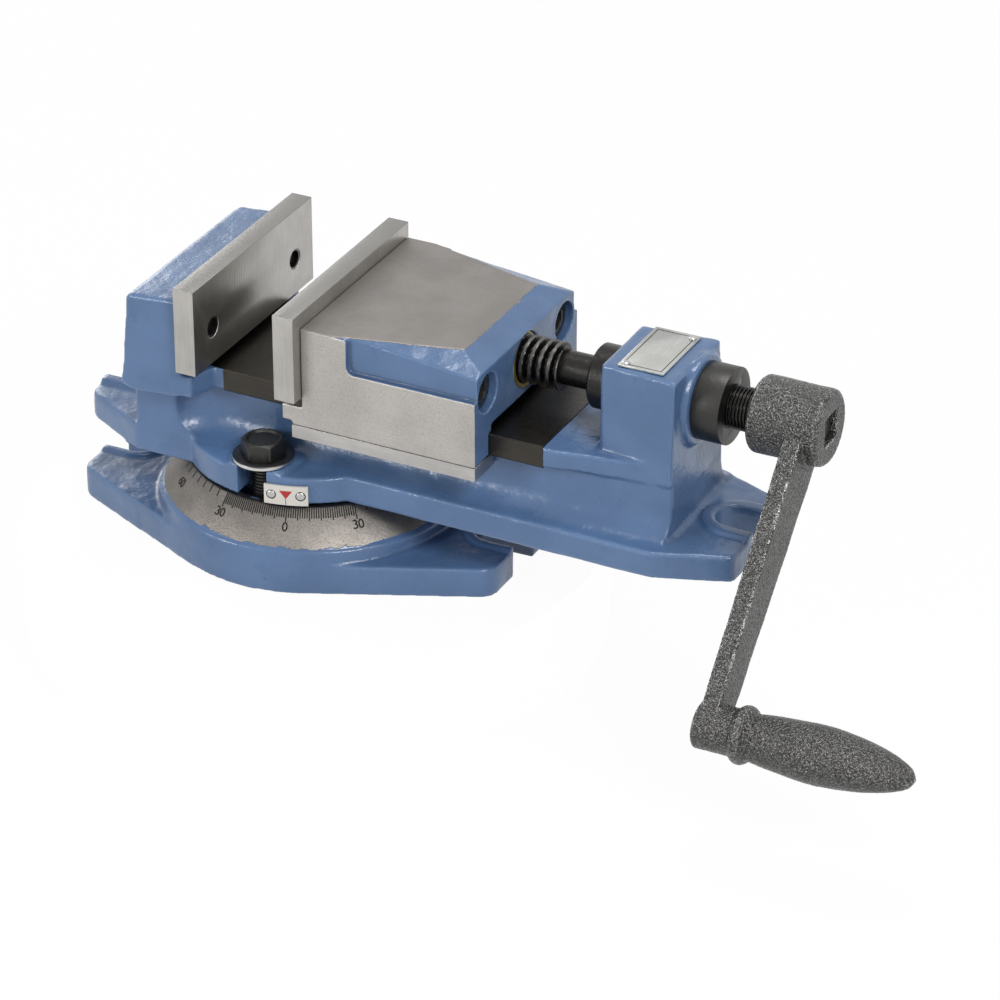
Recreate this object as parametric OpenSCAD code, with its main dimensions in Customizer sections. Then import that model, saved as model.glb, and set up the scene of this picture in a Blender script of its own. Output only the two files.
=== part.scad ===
// Swivel machine vise: a cast body with a fixed and a sliding jaw, turning on a graduated base.
// The origin is the swivel axis on the underside of the base. +X runs along the screw to the crank.

/* [Swivel base] */
// Radius of the round part of the base
base_r = 66; // [62:0.5:72]
// Height of the base's rim
base_rim_h = 13.5; // [12:0.5:18]
// Distance from the swivel axis to the end of an ear
base_ear_reach = 98; // [92:1:120]
// Angle between an ear's side and the long axis
base_ear_angle = 24.5; // [20:0.5:28]
// Radius of an ear's corners
base_ear_corner_r = 9; // [5:0.5:12]
// Width of the bolt slots in the ears
slot_w = 16.6; // [13:0.2:18]
// Length of the base's slots, from the ear's end to the closed end
base_slot_l = 21; // [18:0.5:24]
// Width of the raised rim round a slot
slot_rim_w = 4.3; // [3:0.1:6]
// Height of the raised rim round a slot
slot_rim_h = 1.5; // [1:0.1:3]
// Height of the painted collar under the graduated cone
collar_h = 6; // [4:0.5:8]
// How much the collar narrows from its foot to its top
collar_draft = 1; // [0.5:0.1:2]
// Step between the collar's top and the foot of the cone
cone_step = 1.3; // [0.8:0.1:2]
// Height of the graduated cone
cone_h = 14.5; // [13.5:0.5:17]
// Radius that the cone loses for each unit of its height
cone_slope_share = 0.75; // [0.6:0.05:0.8]

/* [Circular slot and pivot] */
// Radius of the circle that the clamp bolts stand on
clamp_r = 43; // [41:0.5:44]
// Width of the mouth of the circular slot
groove_mouth_w = 11; // [10.6:0.1:12]
// Width of the circular slot under its lips
groove_w = 18; // [16:0.5:18]
// Thickness of the lips of the circular slot
groove_lip_h = 7; // [6:0.5:8]
// Height of the wide part of the circular slot
groove_h = 9; // [8.5:0.5:10]
// Radius of the centre pin
pivot_r = 12; // [9:0.5:14]
// Depth of the centre pin in the base
pivot_base_l = 20; // [16:1:22]
// Depth of the centre pin in the body
pivot_body_l = 16; // [10:1:20]

/* [Clamp bolts] */
// Radius of a clamp bolt's thread
bolt_r = 5; // [4.5:0.1:5.2]
// Width across the flats of a clamp bolt's head
bolt_head_af = 16.5; // [15:0.5:18]
// Height of a clamp bolt's head
bolt_head_h = 6.7; // [6:0.1:10]
// Turn of the clamp bolts' heads, in degrees
bolt_turn = 17; // [0:1:30]
// Radius of a washer
washer_r = 12.9; // [11:0.1:14]
// Thickness of a washer
washer_h = 1.8; // [1.5:0.1:3]
// Radius of a washer's hole
washer_hole_r = 5.3; // [5.25:0.05:5.6]
// Room round a washer in the spot face cut for it
spot_room = 0.6; // [0.4:0.1:1]
// Side of the square nuts in the circular slot
tee_nut_w = 15; // [14:0.5:15]
// Height of the square nuts in the circular slot
tee_nut_h = 8; // [6:0.5:8]

/* [Vise body] */
// Half the width of the body's flange
flange_half = 39.8; // [38:0.2:42]
// Thickness of the flange
flange_h = 12; // [10:0.5:14]
// Height of the machined pad under the flange
pad_h = 1.5; // [1:0.1:2.5]
// Radius of the round lugs that carry the clamp bolts
lug_r = 54; // [52.5:0.5:56]
// Width of the notch for a clamp bolt
notch_w = 13; // [11:0.5:14]
// Height of the raised seat under a washer
seat_h = 2; // [1:0.1:3]
// Distance from the swivel axis to the left ear's end
left_reach = 96; // [92:1:110]
// Half the width of the left ear at its end
left_end_half = 22; // [20:0.5:26]
// Where the left ear reaches the full width
left_taper_x = 63; // [60:0.5:70]
// Distance from the swivel axis to the right ear's end
right_reach = 205; // [200:1:215]
// Half the width of the right ear at its end
right_end_half = 28; // [26:0.5:32]
// Where the right ear starts to narrow
right_taper_x = 174; // [170:1:180]
// Radius of the corners of the left ear
ear_corner_r = 9; // [6:0.5:12]
// Where the right ear starts to narrow at the back
right_back_taper_x = 162.7; // [158:0.1:170]
// Half the width of the right ear's end, at the back
right_back_half = 23.7; // [22:0.1:28]
// Radius of the corners of the right ear
right_corner_r = 3; // [2:0.5:6]
// Length of the body's slots, from the ear's end to the closed end
body_slot_l = 20; // [16:0.5:22]
// Half the width of the way
way_half = 33.4; // [32:0.2:35]
// Height of the way's top above the flange
way_rise = 32.4; // [31:0.2:36]
// Thickness of the way's overhanging edges
way_edge_h = 9.7; // [8.5:0.1:11]
// Where the machined way ends
way_end_x = 123; // [118:1:126]
// Where the machined pad under the flange ends
pad_end_x = 118.7; // [114:0.1:122]
// Half the width of the web under the way
web_half = 28.5; // [26:0.5:29]
// Half the width of the web at the screw block
web_end_half = 24.4; // [22:0.2:26]
// Radius of the hollow curve between the web and the flange
scoop_r = 12; // [8:0.5:14]
// Radius of the scoop's corner beside the fixed jaw
scoop_corner_r = 10; // [6:0.5:13]
// Where the scoop starts beside the fixed jaw's foot
scoop_start_x = -46.5; // [-49:0.5:-42]

/* [Fixed jaw] */
// Half the width of the fixed jaw's casting at its foot
jaw_half = 47; // [46:0.2:48.4]
// Draft of the fixed jaw's ends
jaw_end_draft = 0.4; // [0.3:0.1:2]
// Thickness of the fixed jaw's casting at its top
jaw_top_l = 24.8; // [23:0.2:27]
// How far the jaw's back leans out at its foot
jaw_back_lean = 4; // [2:0.2:6]
// How far the jaw's far end is cut away at its back
jaw_corner_cut = 7.4; // [5:0.2:9]
// Length of that cut along the jaw's back
jaw_corner_l = 12; // [9:0.5:14]
// Height of the fixed jaw's front above the way
jaw_rise = 34; // [32:0.5:36]
// How far the fixed jaw's top falls towards its back
jaw_top_fall = 1.5; // [0.5:0.1:3]
// Height that the jaw's ends hang below the way's top
jaw_hang = 10.4; // [9.6:0.2:12]
// Length of the cast corner between the jaw's foot and the way
foot_corner_l = 9.1; // [8:0.1:9.2]

/* [Jaw plates] */
// Width of a jaw plate
plate_w = 100; // [94:0.5:104]
// Thickness of a jaw plate
plate_t = 9.4; // [8:0.1:10]
// Height of a jaw plate
plate_h = 38.4; // [37:0.2:40]
// Gap between the way and a jaw plate
plate_lift = 3.4; // [2.5:0.1:5]
// How far the moving jaw's plate sits to the side
plate_shift = -2.4; // [-3:0.1:3]
// Distance from the swivel axis to the fixed plate's gripping face
grip_x = 27; // [25:0.5:30]
// Opening between the plates as drawn
opening = 38; // [34:1:40]
// Half the distance between a plate's screws
plate_screw_y = 34.6; // [34:0.2:35.4]
// Height of the plate screws above the way
plate_screw_rise = 19.4; // [18.5:0.1:20]
// Radius of the plate screws
plate_screw_r = 4.5; // [4:0.1:5]
// Radius of the plate screws' heads
cap_head_r = 7.8; // [7:0.1:8]
// Height of the plate screws' heads
cap_head_h = 9; // [7:0.5:10]
// Width across the flats of the plate screws' sockets
cap_socket_af = 8; // [7:0.5:9]
// Radius of the counterbores for the plate screws
counterbore_r = 8.4; // [8.1:0.1:8.8]

/* [Moving jaw] */
// Half the width of the moving jaw
slider_half = 46.5; // [45.8:0.1:47.5]
// Length of the moving jaw behind its plate
slider_l = 78.8; // [76:0.2:82]
// Height of the moving jaw's machined top above the way
slider_rise = 35.1; // [34:0.1:36]
// Length of the moving jaw's nose under its plate
nose_l = 9; // [6:0.5:9]
// Length of the jaw that keeps its full section
slider_square_l = 20.9; // [18:0.5:24]
// Height at which the cast shoulder meets the jaw's side, above the way
shoulder_rise = 19.3; // [18.8:0.1:20]
// How far the cast shoulder stands in from the jaw's side
shoulder_step = 2.4; // [1.8:0.1:2.8]
// Width that the machined top loses on each side to its rear
top_taper = 12; // [9:0.5:12.5]
// Slope of the shoulder beside the machined top, in degrees
shoulder_slope = 22; // [18:1:26]
// Length of the bevel at the rear of the machined top
rear_bevel_l = 12; // [9:0.5:13]
// Height of the bevel at the rear of the machined top
rear_bevel_h = 4.5; // [4:0.1:6]
// Thickness of the lip that covers the nut's outer end
nut_lip = 3; // [2.5:0.1:5]
// Room round the screw where it passes through the moving jaw
screw_room = 0.8; // [0.6:0.1:1.2]
// Thickness of the wall that carries the nut
nut_wall = 26; // [24:0.5:28]
// Thickness of the moving jaw's front wall
front_wall = 14; // [12:0.5:15]
// Half the width of the hollow in the moving jaw
hollow_half = 24; // [22:0.5:25]
// Thickness of the moving jaw's roof
roof_h = 8.5; // [8:0.1:9.2]
// Width of the rear notch over the way
rear_notch_w = 62; // [58:1:64]
// Height of the rear notch over the way
rear_notch_h = 3.2; // [2:0.2:5]
// Thickness of the keeper plates
keeper_h = 5.7; // [5:0.1:6.2]
// Depth by which a keeper plate hooks under the way
keeper_hook = 3.9; // [3.4:0.1:4.2]
// Screws in each keeper plate
keeper_screws_each = 4; // [3:1:6]
// Radius of the keeper screws
keeper_screw_r = 2.5; // [2:0.1:3]
// Radius of the keeper screws' heads
keeper_head_r = 4.4; // [4:0.1:4.6]
// Height of the keeper screws' heads
keeper_head_h = 3; // [2.5:0.1:3.4]
// Depth of the keeper screws in the jaw's skirt
keeper_thread_l = 14; // [10:1:18]

/* [Screw and nut] */
// Height of the screw's axis above the way
screw_rise = 18.9; // [18.5:0.1:19.2]
// Radius of the screw's thread
screw_r = 10; // [9.5:0.1:10.4]
// Where the screw's left end lies
screw_start_x = 44; // [43.8:0.2:48]
// Where the screw's thread ends
thread_end_x = 116.3; // [114:0.1:120]
// Radius of the plain neck beside the collar
neck_r = 7.2; // [6.5:0.1:8]
// Radius of the screw's thrust collar
collar_r = 13.5; // [12.5:0.5:14]
// Thickness of the screw's thrust collar
collar_l = 10; // [8:0.5:11]
// Radius of the screw's journal
journal_r = 9; // [8.6:0.1:9.4]
// Outer radius of the bronze nut
nut_r = 11.8; // [11.4:0.1:12]
// Radius of the lock ring
ring_r = 16; // [15:0.5:17]
// Thickness of the lock ring
ring_l = 12; // [10:0.5:13]
// Radius of the lock ring's locking pin
ring_pin_r = 1.7; // [1.4:0.1:1.8]
// Angle of the locking pin from the top, towards the back
ring_pin_angle = 33.5; // [0:0.5:60]
// Distance that the thread stands out past the lock ring
stub_l = 11; // [9:0.5:13]

/* [Screw block] */
// Where the block's left face lies
block_x = 142; // [141:0.5:143]
// Length of the block along the screw
block_l = 34; // [33:0.5:35]
// Height of the block's top above the way
block_rise = 36.3; // [35:0.1:38]
// Half the width of the block's top at its left face
block_left_half = 19.1; // [18:0.1:21]
// Half the width of the block's top at its right face
block_right_half = 21.8; // [21:0.1:24]
// Draft of the block's sides over its height
block_draft = 2.5; // [1:0.1:3]
// Radius of the round boss on the block's right face
boss_r = 19; // [18.2:0.1:20]
// Thickness of the round boss
boss_l = 2.95; // [2:0.05:3.5]
// How far the block's middle lies to the front of the screw
block_shift = 1.8; // [1:0.1:2.4]
// Radius of the hollow curve at the foot of the block's right face
foot_r = 3; // [2:0.2:3.2]

/* [Crank] */
// Radius of the crank's hub
hub_r = 16; // [15:0.5:17]
// Length of the crank's hub
hub_l = 31; // [28:0.5:33]
// Bevel of the crank's hub
hub_bevel = 1.5; // [0.5:0.1:2]
// Width across the flats of the square socket
socket_af = 12; // [11:0.2:12.4]
// Distance from the screw's axis to the grip's axis
crank_r = 126.5; // [118:0.5:134]
// Angle of the crank from straight down, towards the front
crank_angle = 43.5; // [0:0.5:60]
// Thickness of the crank's arm
arm_t = 7.6; // [6.5:0.1:9]
// Width of the arm at the hub
arm_hub_w = 25.25; // [22:0.25:28]
// Width of the arm at the grip
arm_end_w = 18.2; // [16:0.2:19]
// Radius of the boss at the end of the arm
end_boss_r = 9.8; // [9.6:0.1:11]
// Radius of the bead beside the grip
bead_r = 12; // [11.4:0.2:13]
// Width of the bead beside the grip
bead_w = 8; // [7:0.5:9]
// Length of the grip from its neck to its tip
grip_l = 68.5; // [64:0.5:76]
// Largest radius of the grip
grip_r = 12; // [11:0.05:13]
// Share of the grip's length at which it is widest
grip_swell_share = 0.41; // [0.3:0.01:0.5]
// How much of its area the grip loses at its foot
grip_foot_share = 0.36; // [0.2:0.02:0.5]
// Power of the curve that closes the grip's tip
grip_tip_share = 1.62; // [1.4:0.02:2]

/* [Plates and rivets] */
// Angle from the front to the middle of the pointer plate
pointer_angle = 16.3; // [15.6:0.1:17]
// Angle that the pointer plate spans
pointer_span = 19.4; // [18:0.1:20]
// Height of the pointer plate
pointer_h = 8.8; // [8:0.1:9.4]
// Thickness of the sheet plates
sheet_t = 0.9; // [0.6:0.1:1.2]
// Length of the name plate, across the vise
name_l = 36; // [33:0.5:37]
// Width of the name plate, along the screw
name_w = 20; // [18:0.5:22]
// Radius of a rivet's shank
rivet_r = 1.1; // [0.9:0.1:1.2]
// Radius of a rivet's head
rivet_head_r = 1.7; // [1.5:0.1:1.8]
// Length of a rivet under its head
rivet_l = 5; // [3:0.5:7]

/* [Fits] */
// Gap between faces that slide on each other
slide_gap = 0.05; // [0.03:0.01:0.08]
// Gap round a turning shaft
run_gap = 0.05; // [0.03:0.01:0.08]
// Gap round a screw in its hole
screw_gap = 0.25; // [0.1:0.05:0.3]

/* [Hidden] */
$fn = 96;
over = 1;
cast_blue = [0.30, 0.43, 0.64];
steel = [0.62, 0.60, 0.57];
black_oxide = [0.12, 0.12, 0.13];

cone_foot_z = base_rim_h + collar_h;
cone_foot_r = base_r - collar_draft - cone_step;
base_top = cone_foot_z + cone_h;
cone_top_r = cone_foot_r - cone_h * cone_slope_share;
groove_ceiling = base_top - groove_lip_h;
groove_floor = groove_ceiling - groove_h;
nut_entry_w = (groove_w + tee_nut_w) / 2;
body_bottom = base_top + slide_gap;
flange_bottom = body_bottom + pad_h;
flange_top = flange_bottom + flange_h;
seat_top = flange_top + seat_h;
way_top = flange_top + way_rise;
way_bottom = way_top - way_edge_h;
screw_z = way_top + screw_rise;
slot_r = slot_w / 2;
plate_z = way_top + plate_lift;
plate_screw_z = way_top + plate_screw_rise;
fixed_face_x = -grip_x - plate_t;
jaw_back_x = fixed_face_x - jaw_top_l;
jaw_top = way_top + jaw_rise;
moving_grip_x = -grip_x + opening;
slider_x = moving_grip_x + plate_t;
slider_end = slider_x + slider_l;
slider_top = way_top + slider_rise;
block_end = block_x + block_l;
block_top = way_top + block_rise;
collar_x = block_x - slide_gap - collar_l;
ring_x = block_end + boss_l + slide_gap;
ring_end = ring_x + ring_l;
stub_end = ring_end + stub_l;
hub_end = stub_end + hub_l;
keeper_top = way_bottom - slide_gap;
keeper_bottom = keeper_top - keeper_h;
keeper_x = slider_x - plate_t / 2;
fixed_head_x = fixed_face_x - jaw_top_l / 2;
slider_head_x = slider_end - cap_head_h - plate_lift;

function arc(cx, cy, r, a0, a1, n) =
    [for (i = [0 : n]) [cx + r * cos(a0 + (a1 - a0) * i / n), cy + r * sin(a0 + (a1 - a0) * i / n)]];

// A cylinder lying along X
module bar_x(x0, x1, r) {
    translate([x0, 0, 0]) rotate([0, 90, 0]) cylinder(r = r, h = x1 - x0);
}

// An outline in the XZ plane, drawn out along Y on both sides of the middle
module across(half) {
    translate([0, half, 0]) rotate([90, 0, 0]) linear_extrude(height = 2 * half) children();
}

// An outline whose first axis is Y and second Z, drawn out along X
module along(x0, x1) {
    translate([x0, 0, 0]) rotate([90, 0, 90]) linear_extrude(height = x1 - x0) children();
}

module both_sides() {
    children();
    mirror([0, 1, 0]) children();
}

module both_ends() {
    children();
    mirror([1, 0, 0]) children();
}

// A bolt slot open to one end, with its closed end round; grow widens it on every side
module slot_plan(closed_x, end_x, grow) {
    translate([closed_x + slot_r, 0]) circle(r = slot_r + grow);
    translate([closed_x + slot_r, -slot_r - grow])
        square([end_x - closed_x - slot_r, 2 * slot_r + 2 * grow]);
}

// The front half of an ear: its side is straight from (x0, -y0) to a round corner at the end
module ear_side(x0, y0, reach, end_half, corner_r) {
    slope = atan2(y0 - end_half, reach - x0);
    // The corner circle touches the end and the slanted side
    cx = reach - corner_r;
    edge = y0 - (cx - x0) * tan(slope);
    cy = edge - corner_r / cos(slope);
    px = cx + corner_r * sin(slope);
    py = cy + corner_r * cos(slope);
    polygon([[0, over], [0, -y0], [x0, -y0], [px, -py], [reach, -cy], [reach, over]]);
    translate([cx, -cy]) circle(r = corner_r);
}

module ear_plan(x0, y0, reach, end_half, corner_r) {
    ear_side(x0, y0, reach, end_half, corner_r);
    mirror([0, 1]) ear_side(x0, y0, reach, end_half, corner_r);
}

// Swivel base

module base_plan() {
    tangent_x = base_r * sin(base_ear_angle);
    tangent_y = base_r * cos(base_ear_angle);
    end_half = tangent_y - (base_ear_reach - tangent_x) * tan(base_ear_angle);
    circle(r = base_r, $fn = 180);
    both_ends() ear_plan(tangent_x, tangent_y, base_ear_reach, end_half, base_ear_corner_r);
}

module swivel_base() color(cast_blue) {
    closed_x = base_ear_reach - base_slot_l;
    difference() {
        union() {
            linear_extrude(height = base_rim_h) base_plan();
            both_ends() translate([0, 0, base_rim_h]) linear_extrude(height = slot_rim_h)
                intersection() {
                    slot_plan(closed_x, base_ear_reach, slot_rim_w);
                    base_plan();
                }
            translate([0, 0, base_rim_h])
                cylinder(r1 = base_r, r2 = base_r - collar_draft, h = collar_h, $fn = 180);
            translate([0, 0, cone_foot_z])
                cylinder(r1 = cone_foot_r, r2 = cone_top_r, h = cone_h, $fn = 180);
        }
        both_ends() translate([0, 0, -over]) linear_extrude(height = base_top)
            slot_plan(closed_x, base_ear_reach + over, 0);
        rotate_extrude($fn = 180) clamp_groove_profile();
        // Square entry for the nuts, hidden under the body
        translate([clamp_r - nut_entry_w / 2, -nut_entry_w / 2, groove_floor])
            cube([nut_entry_w, nut_entry_w, base_top]);
        translate([0, 0, base_top - pivot_base_l]) cylinder(r = pivot_r, h = base_top);
    }
}

module clamp_groove_profile() {
    translate([clamp_r - groove_w / 2, groove_floor]) square([groove_w, groove_h]);
    translate([clamp_r - groove_mouth_w / 2, groove_floor])
        square([groove_mouth_w, groove_h + groove_lip_h + over]);
}

module pivot_pin() color(steel) {
    translate([0, 0, base_top - pivot_base_l])
        cylinder(r = pivot_r, h = pivot_base_l + pivot_body_l);
}

// Clamps of the swivel

module at_clamps() {
    for (side = [-1, 1]) translate([0, side * clamp_r, 0]) children();
}

module tee_nuts() color(black_oxide) at_clamps() {
    translate([0, 0, groove_ceiling - slide_gap - tee_nut_h]) difference() {
        translate([-tee_nut_w / 2, -tee_nut_w / 2, 0]) cube([tee_nut_w, tee_nut_w, tee_nut_h]);
        translate([0, 0, -over]) cylinder(r = bolt_r + run_gap, h = tee_nut_h + 2 * over);
    }
}

module clamp_washers() color(steel) at_clamps() {
    translate([0, 0, seat_top]) difference() {
        cylinder(r = washer_r, h = washer_h);
        translate([0, 0, -over]) cylinder(r = washer_hole_r, h = washer_h + 2 * over);
    }
}

module clamp_bolt() {
    head_z = seat_top + washer_h;
    corner_r = bolt_head_af / 2 / cos(30);
    chamfer = bolt_head_h / 5;
    foot_z = groove_ceiling - tee_nut_h;
    translate([0, 0, foot_z]) cylinder(r = bolt_r, h = head_z - foot_z);
    translate([0, 0, head_z]) rotate([0, 0, bolt_turn]) intersection() {
        cylinder(r = corner_r, h = bolt_head_h, $fn = 6);
        // The turned chamfer on the head's corners
        union() {
            cylinder(r = corner_r, h = bolt_head_h - chamfer);
            translate([0, 0, bolt_head_h - chamfer])
                cylinder(r1 = corner_r, r2 = corner_r - 2 * chamfer, h = chamfer);
        }
    }
}

module front_clamp_bolt() color(black_oxide) translate([0, -clamp_r, 0]) clamp_bolt();

module rear_clamp_bolt() color(black_oxide) translate([0, clamp_r, 0]) clamp_bolt();

// Vise body

module flange_plan() {
    ear_side(right_taper_x, flange_half, right_reach, right_end_half, right_corner_r);
    mirror([0, 1])
        ear_side(right_back_taper_x, flange_half, right_reach, right_back_half, right_corner_r);
    mirror([1, 0]) ear_plan(left_taper_x, flange_half, left_reach, left_end_half, ear_corner_r);
    circle(r = lug_r, $fn = 180);
}

module flange() {
    translate([0, 0, flange_bottom]) linear_extrude(height = flange_h) flange_plan();
    pad_start = -left_taper_x - slot_r;
    translate([pad_start, -flange_half + slot_rim_w, body_bottom])
        cube([pad_end_x - pad_start, 2 * flange_half - 2 * slot_rim_w, pad_h]);
    // Raised rims round the ears' slots
    translate([0, 0, flange_top]) linear_extrude(height = seat_h) intersection() {
        flange_plan();
        union() {
            slot_plan(right_reach - body_slot_l, right_reach, slot_rim_w + slot_rim_h);
            mirror([1, 0]) slot_plan(left_reach - body_slot_l, left_reach, slot_rim_w + slot_rim_h);
        }
    }
    // Raised seats under the washers, run back into the web
    translate([0, 0, flange_top]) linear_extrude(height = seat_h) intersection() {
        circle(r = lug_r, $fn = 180);
        at_clamp_plan() {
            circle(r = washer_r + slot_rim_h);
            translate([-washer_r - slot_rim_h, 0]) square([2 * washer_r + 2 * slot_rim_h, clamp_r]);
        }
    }
}

module at_clamp_plan() {
    translate([0, -clamp_r]) children();
    mirror([0, 1]) translate([0, -clamp_r]) children();
}

// Section of the scoop beside the web: a hollow quarter curve rising from the flange to the web.
// Distance from the web runs along the first axis.
module scoop_profile(width) {
    depth = way_bottom - flange_top;
    difference() {
        square([width, depth + over]);
        difference() {
            square([scoop_r, scoop_r]);
            translate([scoop_r, scoop_r]) circle(r = scoop_r);
        }
    }
}

// The hollow on the front side, from the fixed jaw's foot to the screw block
module scoop() {
    width = flange_half - web_half + lug_r;
    turn_x = scoop_start_x + scoop_corner_r + scoop_r;
    turn_y = -web_half - scoop_corner_r - scoop_r;
    narrow_x = way_end_x;
    long = right_reach - narrow_x;
    taper = atan2(web_half - web_end_half, block_end - narrow_x);
    translate([0, 0, flange_top]) {
        // Along the way
        translate([turn_x, -web_half, 0]) rotate([90, 0, 90])
            linear_extrude(height = narrow_x - turn_x + over) mirror([1, 0]) scoop_profile(width);
        // Along the narrowing part beside the screw block
        translate([narrow_x, -web_half, 0]) rotate([0, 0, taper]) rotate([90, 0, 90])
            translate([0, 0, -over]) linear_extrude(height = long) mirror([1, 0]) scoop_profile(width);
        // Round the corner beside the fixed jaw's foot
        translate([turn_x, turn_y, 0]) rotate([0, 0, 90]) rotate_extrude(angle = 90) intersection() {
            translate([scoop_corner_r + scoop_r, 0]) mirror([1, 0]) scoop_profile(width);
            square([scoop_corner_r + scoop_r, way_rise]);
        }
        // Out past the flange's front
        translate([scoop_start_x, turn_y, 0]) rotate([90, 0, 0])
            linear_extrude(height = lug_r) scoop_profile(width - scoop_r);
        // The middle of the hollow, clear of its curves
        translate([turn_x, turn_y - lug_r, 0]) cube([long, lug_r + over, way_bottom - flange_top + over]);
    }
}

module web_block() {
    difference() {
        translate([0, 0, flange_top]) linear_extrude(height = way_bottom - flange_top) intersection() {
            flange_plan();
            translate([-left_taper_x, -flange_half]) square([block_end + left_taper_x, 2 * flange_half]);
        }
        both_sides() scoop();
    }
    // The hollow curve at the foot of the right face, as far as the flange reaches
    intersection() {
        across(web_end_half) translate([block_end - over, flange_top - over]) difference() {
            square([foot_r + over, foot_r + over]);
            translate([foot_r + over, foot_r + over]) circle(r = foot_r);
        }
        translate([0, 0, flange_bottom]) linear_extrude(height = way_bottom) flange_plan();
    }
}

// Plan of the way: parallel over its machined length, then narrowing to the screw block
module way_plan() {
    polygon([
        [fixed_face_x - over, -way_half], [way_end_x, -way_half], [block_x, -web_half - over],
        [block_end, -web_end_half - slide_gap], [block_end, web_end_half + slide_gap],
        [block_x, web_half + over], [way_end_x, way_half], [fixed_face_x - over, way_half]
    ]);
}

module way() {
    rough_drop = pad_h;
    translate([0, 0, way_bottom]) linear_extrude(height = way_edge_h - rough_drop) way_plan();
    translate([fixed_face_x - over, -way_half, way_top - rough_drop])
        cube([way_end_x - fixed_face_x + over, 2 * way_half, rough_drop]);
}

// Side outline of the fixed jaw, leaning out at its back and undercut below its ends
module fixed_jaw_outline() {
    foot_z = way_top - jaw_hang;
    back_x = jaw_back_x - jaw_back_lean;
    corner = jaw_back_lean / 2;
    edge = jaw_top_fall;
    polygon([
        [fixed_face_x, way_bottom + edge], [fixed_face_x, jaw_top - edge], [fixed_face_x - edge, jaw_top],
        [jaw_back_x + edge, jaw_top - jaw_top_fall], [jaw_back_x, jaw_top - jaw_top_fall - edge],
        [back_x + edge, way_top], [back_x, foot_z + edge], [back_x + edge, foot_z],
        [jaw_back_x + corner, foot_z - edge], [fixed_face_x - corner, foot_z]
    ]);
}

module fixed_jaw_ends() {
    foot_z = way_top - jaw_hang - over;
    tip = jaw_half - jaw_end_draft;
    polygon([[-jaw_half, foot_z - over], [jaw_half, foot_z - over], [tip, jaw_top], [-tip, jaw_top]]);
}

// Plan of the fixed jaw, cut away at its far back corner
module fixed_jaw_plan() {
    back_x = jaw_back_x - jaw_back_lean;
    side = jaw_half + over;
    polygon([
        [-grip_x, -side], [back_x - over, -side], [back_x - over, jaw_half - jaw_corner_l],
        [back_x + jaw_corner_cut, side], [-grip_x, side]
    ]);
}

module fixed_jaw_casting() {
    foot_half = jaw_half - jaw_end_draft;
    intersection() {
        across(jaw_half + over) fixed_jaw_outline();
        along(-left_reach, 0) fixed_jaw_ends();
        linear_extrude(height = jaw_top + over) fixed_jaw_plan();
    }
    // Cast corners between the jaw's foot and the way
    both_sides() translate([0, 0, way_bottom]) linear_extrude(height = way_edge_h) polygon([
        [fixed_face_x - over, over - way_half], [fixed_face_x - over, -foot_half],
        [fixed_face_x + foot_corner_l / 2, -foot_half], [fixed_face_x + foot_corner_l, -way_half],
        [fixed_face_x + foot_corner_l, over - way_half]
    ]);
}

module screw_block() {
    lean = atan2(block_draft, block_rise);
    heading = atan2(block_right_half - block_left_half, block_l);
    big = block_l + block_rise;
    translate([0, -block_shift, 0]) difference() {
        translate([0, 0, way_bottom]) linear_extrude(height = block_top - way_bottom)
            block_plan(block_left_half + block_draft, block_right_half + block_draft);
        // The draft of its sides
        both_sides() translate([block_x, -block_left_half - block_draft, way_top]) rotate([0, 0, -heading])
            rotate([-lean, 0, 0]) translate([-big / 2, -big, -over]) cube([2 * big, big, big]);
    }
    translate([0, 0, screw_z]) bar_x(block_end - over, block_end + boss_l, boss_r);
}

// Plan of the screw block, wider to the right, with bevelled corners on its left face
module block_plan(left_half, right_half) {
    corner = block_draft;
    slope = (right_half - left_half) / block_l;
    polygon([
        [block_x, corner - left_half], [block_x + corner, -left_half - slope * corner],
        [block_end, -right_half], [block_end, right_half],
        [block_x + corner, left_half + slope * corner], [block_x, left_half - corner]
    ]);
}

module vise_body() color(cast_blue) {
    notch_h = seat_top - body_bottom + 2 * over;
    difference() {
        union() {
            flange();
            web_block();
            way();
            fixed_jaw_casting();
            screw_block();
        }
        // Slots in the ears
        translate([0, 0, body_bottom - over]) linear_extrude(height = way_rise) {
            slot_plan(right_reach - body_slot_l, right_reach + over, 0);
            mirror([1, 0]) slot_plan(left_reach - body_slot_l, left_reach + over, 0);
        }
        // Notches for the clamp bolts
        both_sides() translate([0, -clamp_r, body_bottom - over]) {
            cylinder(r = notch_w / 2, h = notch_h);
            translate([-notch_w / 2, -clamp_r, 0]) cube([notch_w, clamp_r, notch_h]);
        }
        // Spot faces for the washers, cut into the foot of the web
        both_sides() translate([0, -clamp_r, seat_top])
            cylinder(r = washer_r + spot_room, h = washer_h + bolt_head_h);
        translate([0, 0, body_bottom - over]) cylinder(r = pivot_r + run_gap, h = pivot_body_l + over);
        fixed_screw_holes();
        translate([0, 0, screw_z]) bar_x(block_x - over, block_end + boss_l + over, journal_r + run_gap);
        pointer_rivet_places() cylinder(r = rivet_r + run_gap, h = rivet_l);
        name_rivet_places() cylinder(r = rivet_r + run_gap, h = rivet_l);
    }
}

// Jaw plates and their screws

module fixed_screw_holes() {
    for (side = [-1, 1]) translate([0, side * plate_screw_y, plate_screw_z]) {
        bar_x(jaw_back_x - jaw_back_lean, fixed_head_x, counterbore_r);
        bar_x(fixed_head_x - over, fixed_face_x + over, plate_screw_r + screw_gap);
    }
}

module jaw_plate(shift) {
    difference() {
        translate([0, shift - plate_w / 2, plate_z]) cube([plate_t, plate_w, plate_h]);
        for (side = [-1, 1]) translate([0, side * plate_screw_y, plate_screw_z])
            bar_x(-over, plate_t + over, plate_screw_r + run_gap);
    }
}

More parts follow.
